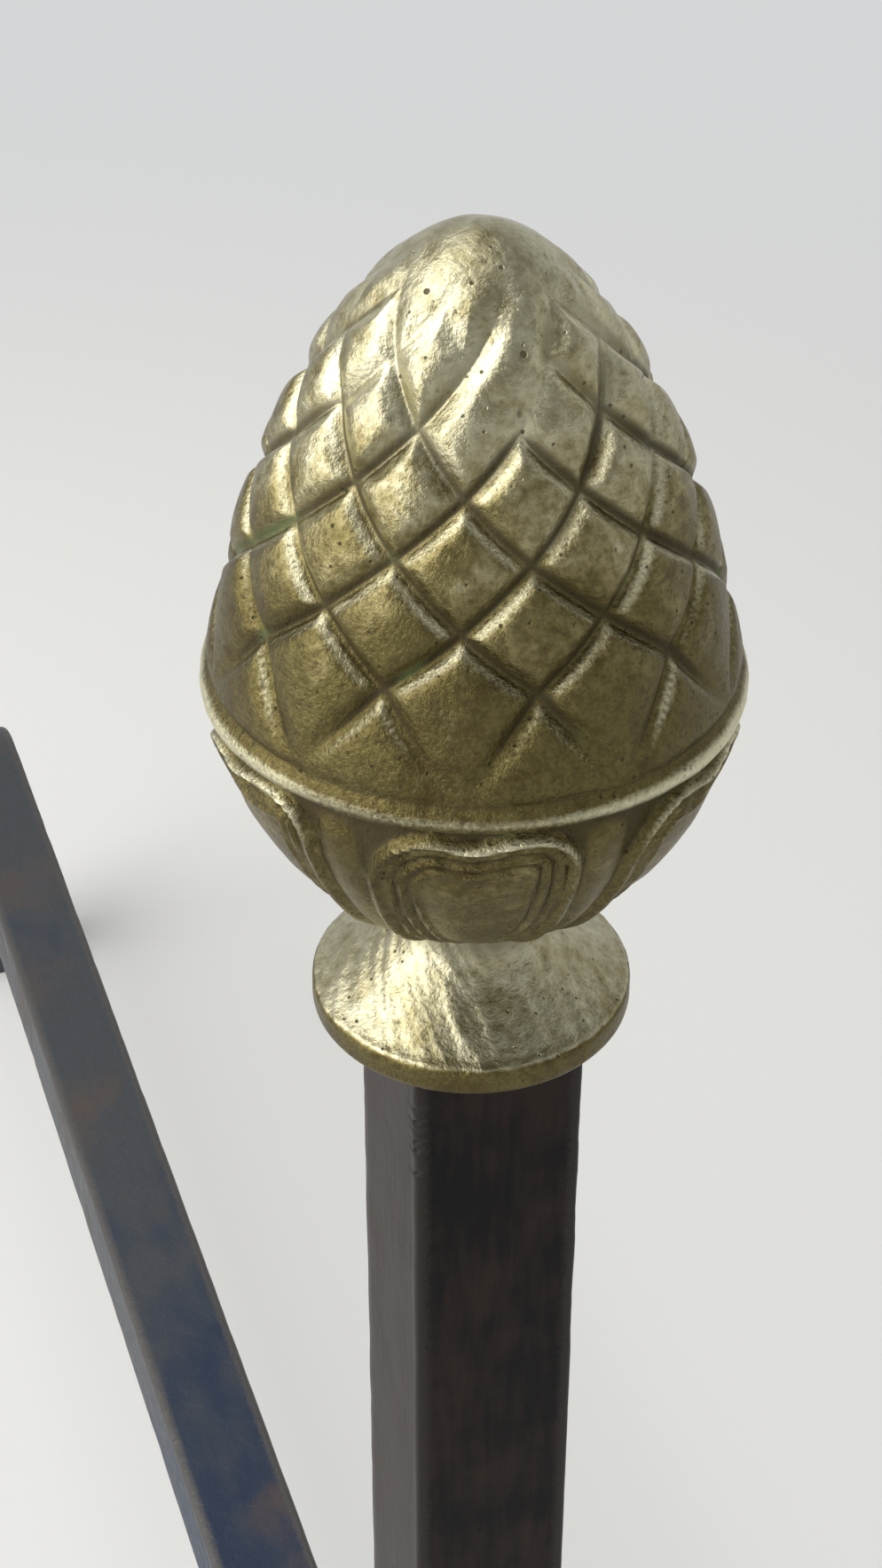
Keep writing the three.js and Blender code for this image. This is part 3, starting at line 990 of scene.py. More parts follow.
    def outline(self) -> list[tuple[float, float]]:
        """Draws the casting's outline, from the hole's end round to the tip.

        Returns:
            Points as radius and height.
        """
        rim, soft = self.flange_rim, self.flange_round
        points = [(0.0, self.hole_depth), (self.hole_radius, self.hole_depth), (self.hole_radius, 0.0),
                  ((self.hole_radius + self.flange_radius) / 2, 0.0)]
        for centre, start in ((soft, -90.0), (rim - soft, 0.0)):
            for angle in np.radians(start + np.linspace(0, 90, self.round_points)):
                points.append((self.flange_radius - soft + soft * math.cos(angle),
                               centre + soft * math.sin(angle)))
        run = self.flange_radius - soft - self.neck_radius
        for share in np.linspace(0, 1, self.flange_steps + 1)[1:-1]:
            points.append((self.neck_radius + run * (1 - share) ** self.flange_sweep,
                           rim + (self.neck_height - rim) * share))
        heights = np.linspace(self.neck_height, self.bead_bottom, self.rise_marks)
        radii = np.maximum(self.neck_radius, self.body_radius(heights))
        climbed = np.concatenate([[0.0], np.cumsum(np.hypot(np.diff(heights), np.diff(radii)))])
        lengths = np.arange(0, climbed[-1] - self.step / 2, self.step)
        points += zip(np.interp(lengths, climbed, radii), np.interp(lengths, climbed, heights))
        lines_per_row = self.columns_per_scale // 2
        rows = np.arange(0, (self.rows_to_tip - self.open_row_left) * lines_per_row) / lines_per_row
        bead = np.linspace(self.bead_bottom, self.scale_start, self.bead_steps)[:-1]
        heights = np.concatenate([bead, self.height_at_row(rows)])
        points += zip(self.body_radius(heights), heights)
        return [(float(radius), float(height)) for radius, height in points] + [(0.0, self.tip_height)]

    def groove_kept(self, lean: Lean, number: np.ndarray, row: np.ndarray) -> np.ndarray:
        """How much of a groove is left.

        Args:
            lean: Which way the groove leans.
            number: Its number, counted round the egg.
            row: Rows climbed.

        Returns:
            1 for a groove as it was cut, less where it is worn and more where it is deep.
        """
        kept = np.ones_like(row)
        for (worn_lean, worn_number), marks in self.worn_grooves.items():
            if worn_lean is lean:
                kept = np.where(number == worn_number, np.interp(row, *zip(*marks)), kept)
        return kept

    def scale_relief(self, turn: np.ndarray, height: np.ndarray) -> tuple[np.ndarray, ...]:
        """Depth of the spiral grooves and of the crowned scales between them.

        Args:
            turn: Turn of each point, in degrees.
            height: Height of each point.

        Returns:
            Depth below the outline in metres, and two shares from 0 to 1: how dark a point is painted, as
            grime and painted shade that is heavier on the downward groove walls and includes a painted shadow
            line above the bead, and how much painted highlight the upward wall of a groove gets there.
        """
        row = self.row_at_height(height)
        lead = self.scale_count * (turn - self.scale_turn) / FULL_TURN
        around = self.scale_count / (2 * math.pi * np.maximum(self.body_radius(height), self.least_radius))
        climb = np.where(row < 1, self.first_row, self.row_climb)
        width = 1 / np.hypot(around, 0.5 / climb)
        bevel = mix(self.bevel_width, self.tip_bevel_width, smoothstep(row, *self.wide_rows))
        left = self.rows_to_tip - row
        fade = smoothstep(left, *self.smooth_rows_left) * smoothstep(row, *self.bead_rows)
        softer = mix(1.0, self.tip_softness, smoothstep(row, *self.soft_rows))
        wall = np.zeros_like(row)
        dark = np.zeros_like(row)
        rubbed = np.zeros_like(row)
        crown = np.ones_like(row)
        for lean in Lean:
            spiral = lead + lean.value * row / 2
            number = np.round(spiral)
            away = np.abs(spiral - number)
            share = soft_min(np.hypot(away * width, self.groove_floor) / bevel, 1.0, self.shoulder_round)
            kept = self.groove_kept(lean, number, row)
            slope = kept * (1 - share)
            faces_up = (spiral - number) * lean.value < 0
            wall = np.maximum(wall, slope)
            # Painted shade: downward groove walls darken over most of their slope, upward ones only near the
            # floor.
            shaded = np.where(faces_up, smoothstep(slope, *self.upper_wall_shade),
                              smoothstep(slope, *self.lower_wall_shade))
            dark = np.maximum(dark, softer * shaded)
            # Painted highlight: a pale band on the upward groove walls only.
            edge = smoothstep(slope, *self.highlight_in) * (1 - smoothstep(slope, *self.highlight_out))
            rubbed = np.maximum(rubbed, edge * np.where(faces_up, 1.0, 0.0))
            crown = crown * (1 - kept * (1 - 2 * away) ** 2)
        crowned = smoothstep(left, *self.flat_rows_left)
        depth = fade * (softer * self.groove_depth * wall + crowned * self.scale_crown * (1 - crown))
        # A painted shadow line just above the bead.
        bead_line = np.exp(-((height - self.scale_start) / self.bead_line_width) ** 2)
        dark = np.clip(np.maximum(fade * dark, self.bead_line_shade * bead_line), 0, 1)
        return np.maximum(depth, self.bead_groove * bead_line), dark, fade * rubbed * (1 - dark)

    def leaf_relief(self, turn: np.ndarray, height: np.ndarray) -> tuple[np.ndarray, ...]:
        """Depth of the bowl below its outline, with the leaves standing out of it.

        Args:
            turn: Turn of each point, in degrees.
            height: Height of each point.

        Returns:
            Depth in metres, and two shares from 0 to 1: how deep in a hollow a point is, and how near
            the top of a leaf's border.
        """
        pitch = FULL_TURN / self.leaf_count
        lean = turn - pitch * np.round(turn / pitch)
        spread = np.abs(lean) / self.leaf_half_angle
        notch = self.leaf_notch * (1 - smoothstep(spread, 0, self.leaf_notch_spread))
        top = self.leaf_top - notch - height
        side = np.radians(self.leaf_half_angle - np.abs(lean)) * self.body_radius(height)
        corner = np.where(lean < 0, *self.leaf_corners)
        in_corner = (side < corner) & (top < corner)
        rounded = corner - np.hypot(np.maximum(corner - side, 0), np.maximum(corner - top, 0))
        inside = np.where(in_corner, rounded, np.minimum(side, top))
        border = np.sin(math.pi * np.clip(inside / self.leaf_border, 0, 1)) ** self.leaf_border_power
        ripple = np.cos(2 * math.pi * (inside - self.leaf_border) / self.ridge_pitch - math.pi / 2)
        reach = (inside - self.leaf_border) / self.ridge_pitch
        rippled = smoothstep(reach, *self.ridge_start) * (1 - smoothstep(reach, self.ridges - 1, self.ridges))
        swell_from, swell_to = self.leaf_swell_span
        floor = self.leaf_field + self.ridge_height * ripple * rippled
        floor = floor + self.leaf_swell * smoothstep(reach, self.ridges + swell_from, self.ridges + swell_to)
        gap = (pitch / 2 - np.abs(lean)) / (pitch / 2 - self.leaf_half_angle)
        below_top = smoothstep(self.leaf_top - height, *self.gap_top)
        between = self.gap_swell * (1 - np.clip(gap, 0, 1) ** 2) * below_top
        rise = np.where(inside > 0, np.maximum(self.leaf_rise * border, floor), between)
        fade = smoothstep(height - self.neck_height, 0, self.leaf_fade)
        hollow = 1 - np.clip(rise / self.leaf_rise, 0, 1)
        return (fade * self.leaf_rise * hollow, fade * smoothstep(hollow, *self.leaf_shade),
                fade * border ** 2)

    def hole_places(self) -> list[tuple[Vector, float]]:
        """Finds the larger blow holes on the finished casting.

        Returns:
            The place and the radius of each.
        """
        places = []
        for turn, row, radius in self.blow_holes:
            height = float(self.height_at_row(np.array(row)))
            reach = float(self.body_radius(height))
            spun = math.radians(self.turn + turn)
            places.append((Vector((self.axis.x + reach * math.sin(spun), self.axis.y - reach * math.cos(spun),
                                   self.post_top + height)), radius))
        return places

    def spin_up(self) -> bpy.types.Object:
        """Draws the outline point by point and spins it round into a closed skin.

        Returns:
            The skin, at the origin.
        """
        outline = [Vector((radius, 0, height)) for radius, height in self.outline()]
        bpy.ops.mesh.primitive_plane_add(size=1 * MM, location=(0, 0, 0))
        piece = bpy.context.object
        bpy.ops.object.mode_set(mode="EDIT")
        bpy.ops.mesh.merge(type="CENTER")
        bpy.ops.transform.translate(value=outline[0])
        for before, after in zip(outline, outline[1:]):
            bpy.ops.mesh.extrude_region_move(TRANSFORM_OT_translate={"value": after - before})
        bpy.ops.mesh.select_all(action="SELECT")
        bpy.ops.mesh.spin(steps=self.scale_count * self.columns_per_scale, angle=2 * math.pi,
                          center=(0, 0, 0), axis=(0, 0, 1))
        bpy.ops.mesh.select_all(action="SELECT")
        bpy.ops.mesh.remove_doubles(threshold=MERGE_DISTANCE)
        bpy.ops.mesh.normals_make_consistent(inside=False)
        bpy.ops.object.mode_set(mode="OBJECT")
        return piece

    def split_faces(self, piece: bpy.types.Object, sink: np.ndarray) -> None:
        """Splits each face of four along its deeper diagonal, so that grooves run clean.

        Args:
            piece: The skin.
            sink: Depth of the relief at each vertex.
        """
        for diagonal in Diagonal:
            count = len(piece.data.polygons)
            sizes = np.zeros(count, int)
            starts = np.zeros(count, int)
            piece.data.polygons.foreach_get("loop_total", sizes)
            piece.data.polygons.foreach_get("loop_start", starts)
            corners = np.zeros(len(piece.data.loops), int)
            piece.data.loops.foreach_get("vertex_index", corners)
            four = sizes == 4
            first = np.where(four, starts, 0)
            deep = [sink[corners[first + step]] for step in range(4)]
            straight = deep[0] + deep[2] >= deep[1] + deep[3]
            select_faces(piece, four & (straight if diagonal is Diagonal.STRAIGHT else True))
            bpy.ops.mesh.quads_convert_to_tris(quad_method=diagonal.value)
            bpy.ops.object.mode_set(mode="OBJECT")

    def set_in_place(self, points: np.ndarray, lift: np.ndarray, height: np.ndarray,
                     shaped: np.ndarray, on_egg: np.ndarray) -> None:
        """Lifts the skin along its normals, lets the ornament waver and screws the casting home.

        Args:
            points: The plain skin's points, which are moved.
            lift: How far each point stands out of it.
            height: Height of each point.
            shaped: True on the egg and the bowl.
            on_egg: True on the egg.
        """
        radius = np.hypot(points[:, 0], points[:, 1])
        span = self.slope_span
        lean = (self.body_radius(height + span) - self.body_radius(height - span)) / (2 * span)
        lean = np.clip(np.where(on_egg, lean, 0.0), self.steepest, 0.0)
        outward = 1 / np.hypot(1, lean)
        upward = -lean * outward
        fade_in = smoothstep(radius, 0, self.pole_radius)
        spread = (radius + lift * outward * fade_in) / np.maximum(radius, TINY)
        points[:, 0] *= spread
        points[:, 1] *= spread
        points[:, 2] += lift * upward

        drift = np.where(shaped, 1.0, 0.0)
        spun = math.radians(self.turn) + self.swing.at(points) * drift * fade_in
        swaying = drift * smoothstep(self.tip_height - height, 0, self.sway_top)
        swaying = swaying * smoothstep(height, self.neck_height, self.sway_bottom)
        points[:, 2] += self.sway.at(points) * swaying
        x, y = points[:, 0].copy(), points[:, 1].copy()
        points[:, 0] = x * np.cos(spun) - y * np.sin(spun) + self.axis.x
        points[:, 1] = x * np.sin(spun) + y * np.cos(spun) + self.axis.y
        points[:, 2] += self.post_top

    def handling(self, height: np.ndarray) -> np.ndarray:
        """Tells how much the casting is handled: most at the tip and the flange, least on the bowl.

        Args:
            height: Height of each point.

        Returns:
            A share from 0 to 1.
        """
        handled = smoothstep(height, *self.handled_span) * self.handled_egg
        handled = np.where(height < self.bead_bottom, self.handled_bowl, handled)
        handled = np.where(height < self.neck_height + self.neck_margin, self.handled_flange, handled)
        return np.where(height < self.flange_rim - self.handled_rim_margin, 0.0, handled)

    def model(self) -> bpy.types.Object:
        """Makes the casting, with its relief and the numbers that its finish reads.

        Returns:
            The casting, in its place.
        """
        piece = self.spin_up()
        take_up(piece)
        points = points_of(piece)
        radius = np.hypot(points[:, 0], points[:, 1])
        height = points[:, 2].copy()
        turn = np.degrees(np.arctan2(points[:, 0], -points[:, 1]))
        beside_hole, above_hole = self.hole_margin
        outer = (radius > self.hole_radius + beside_hole) | (height > self.hole_depth + above_hole)
        on_egg = outer & (height >= self.scale_start - self.scale_margin)
        on_bowl = outer & (height > self.neck_height) & (height < self.bead_bottom)
        on_flange = outer & (height > self.flange_rim * self.crease_from)
        on_flange &= height < self.neck_height + self.neck_margin

        # The grooves' grime and painted shade, and the painted highlight on their upward walls.
        groove, groove_grime_and_shade, rubbed = self.scale_relief(turn, height)
        hollow, in_hollow, border = self.leaf_relief(turn, height)
        fullness = mix(self.bead_thin, 1.0, np.sin(np.radians(turn + self.bead_full_turn)) ** 2)
        fullness = fullness * (1 + self.bead_waver.at(points))
        across = (height - self.bead_height) / (self.bead_half_width * fullness)
        bead = self.bead_rise * fullness * np.maximum(0, 1 - across ** 2) * outer
        sink = np.where(on_egg, groove, 0.0) + np.where(on_bowl, hollow, 0.0)
        lift = bead - sink * np.where(on_egg, 1 + self.groove_waver.at(points), 1.0)
        skin = sum(waver.at(points) for waver in self.skin_wavers)
        lift = lift + np.where(outer & (height > self.flange_rim / 2), skin, 0.0)
        slant = np.radians(turn) * radius
        lines = np.stack([slant + self.crease_climb * height, self.crease_length * (slant - height),
                          0 * height], axis=1)
        lift = lift + np.where(on_flange, self.creases.at(lines), 0.0)
        # Painted shade round the low neck.
        low_neck = 1 - smoothstep(np.abs(height - self.neck_height), *self.neck_shade_span)
        low_neck = low_neck * (radius < self.neck_radius + self.neck_shade_reach) * outer
        self.set_in_place(points, lift, height, on_egg | on_bowl, on_egg)
        self.split_faces(piece, sink)
        move_points(piece, points)

        # recess paints grime and painted shade: the groove walls, the line above the bead, the leaf hollows
        # and the neck.
        recess = np.maximum(groove_grime_and_shade * on_egg + in_hollow * on_bowl, self.neck_shade * low_neck)
        # worn paints wear and painted highlights: upward groove walls, leaf borders, more towards the leaf
        # tops, and the bead.
        least, more = self.leaf_wear_and_highlight
        on_top = smoothstep(height, *(self.leaf_top - drop for drop in self.leaf_top_highlight))
        worn = self.scale_highlight * rubbed * on_egg + (least + more * on_top) * border * on_bowl
        worn = (self.wear_and_highlight_level + self.wear_and_highlight_waver.at(points)) * worn + self.bead_wear_and_highlight * bead / self.bead_rise
        paint(piece, "recess", np.clip(recess, 0, 1))
        paint(piece, "worn", np.clip(worn, 0, 1))
        paint(piece, "handled", self.handling(height))
        smooth(piece, self.sharp_edge)
        return piece

    def build(self) -> None:
        """Makes the casting and puts it in its place, in aged brass."""
        brass = AgedBrass().make(self.hole_places())
        hand_over(self.model(), "finial_casting", "finial", brass)


# ---- The forged bars -------------------------------------------------------------------------


SHANK_SIDE = 12.7 * MM
SHANK_HOLE = 13.3 * MM
SOLE_FLAT: Span = (0.0, 2.0 * MM)
"""Heights between which hammer marks fade in above a sole."""
BAR_CREASE = 50.0
"""A bar's edges stay creased where they turn by more than this, in degrees."""


@dataclass
class Station:
    """One cross-section of a bar: where it is, which way it faces and how large it is."""

    centre: Vector
    along: Vector
    up: Vector
    half_width: float
    top: float
    bottom: float
    rounding: float


@dataclass
class BentPath:
    """A line of straights and bends in a plane, read off in small steps."""

    step: float
    marks: list[Triple] = field(default_factory=lambda: [(0.0, 0.0, 0.0)])

    def straight(self, length: float) -> "BentPath":
        """Runs on straight.

        Args:
            length: How far.

        Returns:
            The path itself.
        """
        along, up, heading = self.marks[-1]
        pieces = max(1, math.ceil(length / self.step))
        for i in range(1, pieces + 1):
            run = length * i / pieces
            self.marks.append((along + run * math.cos(heading), up + run * math.sin(heading), heading))
        return self

    def bend(self, radius: float, angle: float) -> "BentPath":
        """Turns through an angle in degrees, positive towards up.

        Args:
            radius: Radius of the bend.
            angle: Angle to turn through.

        Returns:
            The path itself.
        """
        along, up, heading = self.marks[-1]
        turn = math.radians(angle)
        side = math.copysign(1.0, turn)
        pieces = max(2, math.ceil(abs(turn) * radius / self.step))
        for i in range(1, pieces + 1):
            now = heading + turn * i / pieces
            self.marks.append((
                along + side * radius * (math.sin(now) - math.sin(heading)),
                up - side * radius * (math.cos(now) - math.cos(heading)),
                now,
            ))
        return self


@dataclass(frozen=True)
class ForgedBar:
    """A bar forged from square stock, given as stations along its length."""

    side_points: int = 11
    corner_points: int = 5
    arris_power: int = 6
    hammering: Waver = Waver(11.0 * MM, 0.14 * MM, 5.0)
    skin: Waver = Waver(2.4 * MM, 0.05 * MM, 9.0)
    rubbing: Waver = Waver(7.0 * MM, 0.16 * MM, 13.0)

    @property
    def columns(self) -> int:
        """Points round a section."""
        return 4 * (self.side_points + self.corner_points)

    def section(self, station: Station) -> tuple[np.ndarray, np.ndarray]:
        """The points of one section, counter-clockwise seen against its heading.

        Args:
            station: Its size and rounding.

        Returns:
            Points as rows of across and up, and for each how near it is to an arris, from 0 to 1.
        """
        middle = (station.top + station.bottom) / 2
        half_height = (station.top - station.bottom) / 2
        soft = min(station.rounding, station.half_width, half_height)
        arcs = []
        for quarter in range(4):
            turn = math.pi / 2 * (quarter + np.linspace(0, 1, self.corner_points))
            corner = math.pi / 2 * (quarter + 0.5)
            across = math.copysign(station.half_width - soft, math.cos(corner))
            up = math.copysign(half_height - soft, math.sin(corner))
            arcs.append(np.stack([across + soft * np.cos(turn), middle + up + soft * np.sin(turn)], axis=1))
        points, arris = [], []
        shares = np.linspace(0, 1, self.side_points + 2)[1:-1]
        for arc, following in zip(arcs, arcs[1:] + arcs[:1]):
            points.append(arc)
            arris.append(np.ones(len(arc)))
            points.append(arc[-1] + np.outer(shares, following[0] - arc[-1]))
            arris.append(np.abs(2 * shares - 1) ** self.arris_power)
        return np.concatenate(points), np.concatenate(arris)

    def lay_out(self, stations: Sequence[Station]) -> tuple[np.ndarray, np.ndarray, np.ndarray]:
        """Sets out the bar's surface before it is hammered.

        Args:
            stations: Sections from one end to the other.

        Returns:
            For each section and each point round it: its place, the way out of the bar, and how near
            it is to an arris.
        """
        places, outward, arrises = [], [], []
        for station in stations:
            section, arris = self.section(station)
            right = np.array(station.along.cross(station.up))
            up = np.array(station.up)
            edge = np.roll(section, -1, axis=0) - np.roll(section, 1, axis=0)
            length = np.maximum(np.hypot(edge[:, 0], edge[:, 1]), TINY)
            places.append(np.array(station.centre) + np.outer(section[:, 0], right)
                          + np.outer(section[:, 1], up))
            outward.append(np.outer(edge[:, 1] / length, right) + np.outer(-edge[:, 0] / length, up))
            arrises.append(arris)
        return np.array(places), np.array(outward), np.array(arrises)

    def model(self, stations: Sequence[Station],
              hammered: Callable[[np.ndarray], np.ndarray]) -> bpy.types.Object:
        """Rolls a sheet into a closed bar through the stations and hammers its faces.

        Args:
            stations: Sections from one end to the other.
            hammered: Gives, for points, how much of the hammering they take, from 0 to 1.

        Returns:
            The bar, with the attribute worn.
        """
        rings = len(stations)
        bpy.ops.mesh.primitive_grid_add(x_subdivisions=self.columns, y_subdivisions=rings - 1, size=2)
        piece = bpy.context.object
        sheet = points_of(piece)
        column = np.rint((sheet[:, 0] + 1) / 2 * self.columns).astype(int) % self.columns
        ring = np.rint((sheet[:, 1] + 1) / 2 * (rings - 1)).astype(int)
        places, outward, worn = self.lay_out(stations)
        surface = places.reshape(-1, 3)
        blows = self.hammering.at(surface) + self.skin.at(surface)
        rub = np.clip(self.rubbing.at(surface), 0, self.rubbing.depth) * worn.reshape(-1)
        lift = (np.minimum(blows, 0) - rub) * hammered(surface)
        surface = surface + outward.reshape(-1, 3) * lift[:, None]
        move_points(piece, surface.reshape(places.shape)[ring, column])
        paint(piece, "worn", worn[ring, column])
        close_up(piece)
        return piece


@dataclass
class SquarePost:
    """The post: square bar with a square shank, a thread for the nut and a hole for the stud."""

    bar: ForgedBar
    foot: Vector
    side: float
    crown_top: float
    top: float
    bottom: float
    washer_top: float

    shank_side: float = SHANK_SIDE
    shank_setback: float = 0.6 * MM
    shank_rounding: float = 0.4 * MM
    shank_sections: int = 16
    seat_gap: float = 0.05 * MM
    seat_bevel: Span = (0.4 * MM, 0.2 * MM)
    top_bevel: Span = (0.15 * MM, 0.3 * MM)
    thread_radius: float = 6.35 * MM
    thread_pitch: float = 1.954 * MM
    thread_depth: float = 1.1 * MM
    thread_slope: float = 1.4
    thread_flat: float = 0.2
    thread_bevel: float = 0.8 * MM
    thread_step: float = 0.2 * MM
    thread_end_gap: float = 0.4 * MM
    least_radius: float = 1.0 * MM
    arris: float = 0.7 * MM
    stud_hole_radius: float = 4.27 * MM
    stud_hole_depth: float = 19.5 * MM
    stud_hole_sides: int = 48
    step: float = 1.5 * MM
    fine_step: float = 0.3 * MM
    fine_length: float = 18.0 * MM
    nicks: tuple[Span, ...] = (
        (6.6 * MM, 0.20 * MM), (8.5 * MM, 0.34 * MM), (9.7 * MM, 0.20 * MM), (11.3 * MM, 0.32 * MM),
        (12.6 * MM, 0.40 * MM), (15.9 * MM, 0.30 * MM))
    nick_height: float = 0.35 * MM
    nick_reach: Span = (0.3 * MM, 0.85 * MM)
    hammered_above: Span = (0.5 * MM, 8.0 * MM)
    hammered_below: Span = (1.5 * MM, 0.2 * MM)
    grain: Triple = (1.0, 1.0, 0.12)

    @property
    def shank_bottom(self) -> float:
        """Height at which the square shank stops, a little short of the washer's top."""
        return self.washer_top + self.shank_setback

    def stations(self) -> list[Station]:
        """Sets out the post.

        Returns:
            Sections from the end of the thread up to the top of the bar.
        """
        found = []

        def add(height: float, half: float, rounding: float) -> None:
            """Adds one section."""
            found.append(Station(Vector((self.foot.x, self.foot.y, height)), Vector((0, 0, 1)),
                                 Vector((0, 1, 0)), half, half, -half, rounding))

        radius = self.thread_radius
        add(self.bottom, radius - self.thread_bevel, radius)
        for height in np.arange(self.bottom + self.thread_step, self.shank_bottom, self.thread_step):
            add(height, radius - max(0.0, self.bottom + self.thread_bevel - height), radius)
        for height in np.linspace(self.shank_bottom, self.crown_top - self.seat_gap, self.shank_sections):
            add(height, self.shank_side / 2, self.shank_rounding)
        half = self.side / 2
        seat_inset, seat_rise = self.seat_bevel
        top_inset, top_drop = self.top_bevel
        add(self.crown_top, half - seat_inset, self.arris)
        add(self.crown_top + seat_rise, half, self.arris)
        fine_from = self.top - self.fine_length
        for height in np.arange(self.crown_top + self.step, fine_from, self.step):
            add(height, half, self.arris)
        for height in np.arange(fine_from, self.top - top_drop, self.fine_step):
            add(height, half, self.arris)
        add(self.top, half - top_inset, self.arris)
        return found

    def model(self) -> bpy.types.Object:
        """Makes the post, with its thread, the nicks of its front left arris and its hole.

        Returns:
            The post, in its place.
        """
        piece = self.bar.model(self.stations(), self.hammered)
        points = points_of(piece)
        place = points - np.array((self.foot.x, self.foot.y, 0))
        height = place[:, 2]
        turn = np.arctan2(place[:, 1], place[:, 0])
        radius = np.hypot(place[:, 0], place[:, 1])
        on_thread = (height < self.shank_bottom - self.thread_end_gap) & (radius > self.least_radius)
        phase = np.mod(height / self.thread_pitch - turn / (2 * math.pi), 1.0)
        ridge = self.thread_slope * np.abs(2 * phase - 1) - self.thread_flat
        cut = self.thread_depth * np.clip(ridge, 0, 1)
        shrink = np.where(on_thread, 1 - cut / np.maximum(radius, self.least_radius), 1.0)
        points[:, 0] = self.foot.x + place[:, 0] * shrink
        points[:, 1] = self.foot.y + place[:, 1] * shrink
        half = self.side / 2
        to_arris = np.hypot(place[:, 0] + half, place[:, 1] + half)
        for below_top, depth in self.nicks:
            bite = np.exp(-((height - (self.top - below_top)) / self.nick_height) ** 2)
            bite = bite * (1 - smoothstep(to_arris, *self.nick_reach)) * depth
            points[:, :2] += bite[:, None]
        move_points(piece, points)
        bpy.ops.mesh.primitive_cylinder_add(
            vertices=self.stud_hole_sides, radius=self.stud_hole_radius, depth=2 * self.stud_hole_depth,
            location=(self.foot.x, self.foot.y, self.top))
        cut_away(piece, bpy.context.object)
        smooth(piece, BAR_CREASE)
        return piece

    def build(self) -> None:
        """Makes the post and puts it in its place, in forged iron."""
        iron = ForgedIron().make("forged_iron_upright", self.grain)
        hand_over(self.model(), "post_bar", "post", iron)

    def hammered(self, points: np.ndarray) -> np.ndarray:
        """Lets only the bar take hammer marks, and not its two ends.

        Args:
            points: Points on the post.

        Returns:
            How much of the hammering each takes, from 0 to 1.
        """
        height = points[:, 2]
        above = smoothstep(height, *(self.crown_top + rise for rise in self.hammered_above))
        return above * (1 - smoothstep(height, *(self.top - drop for drop in self.hammered_below)))


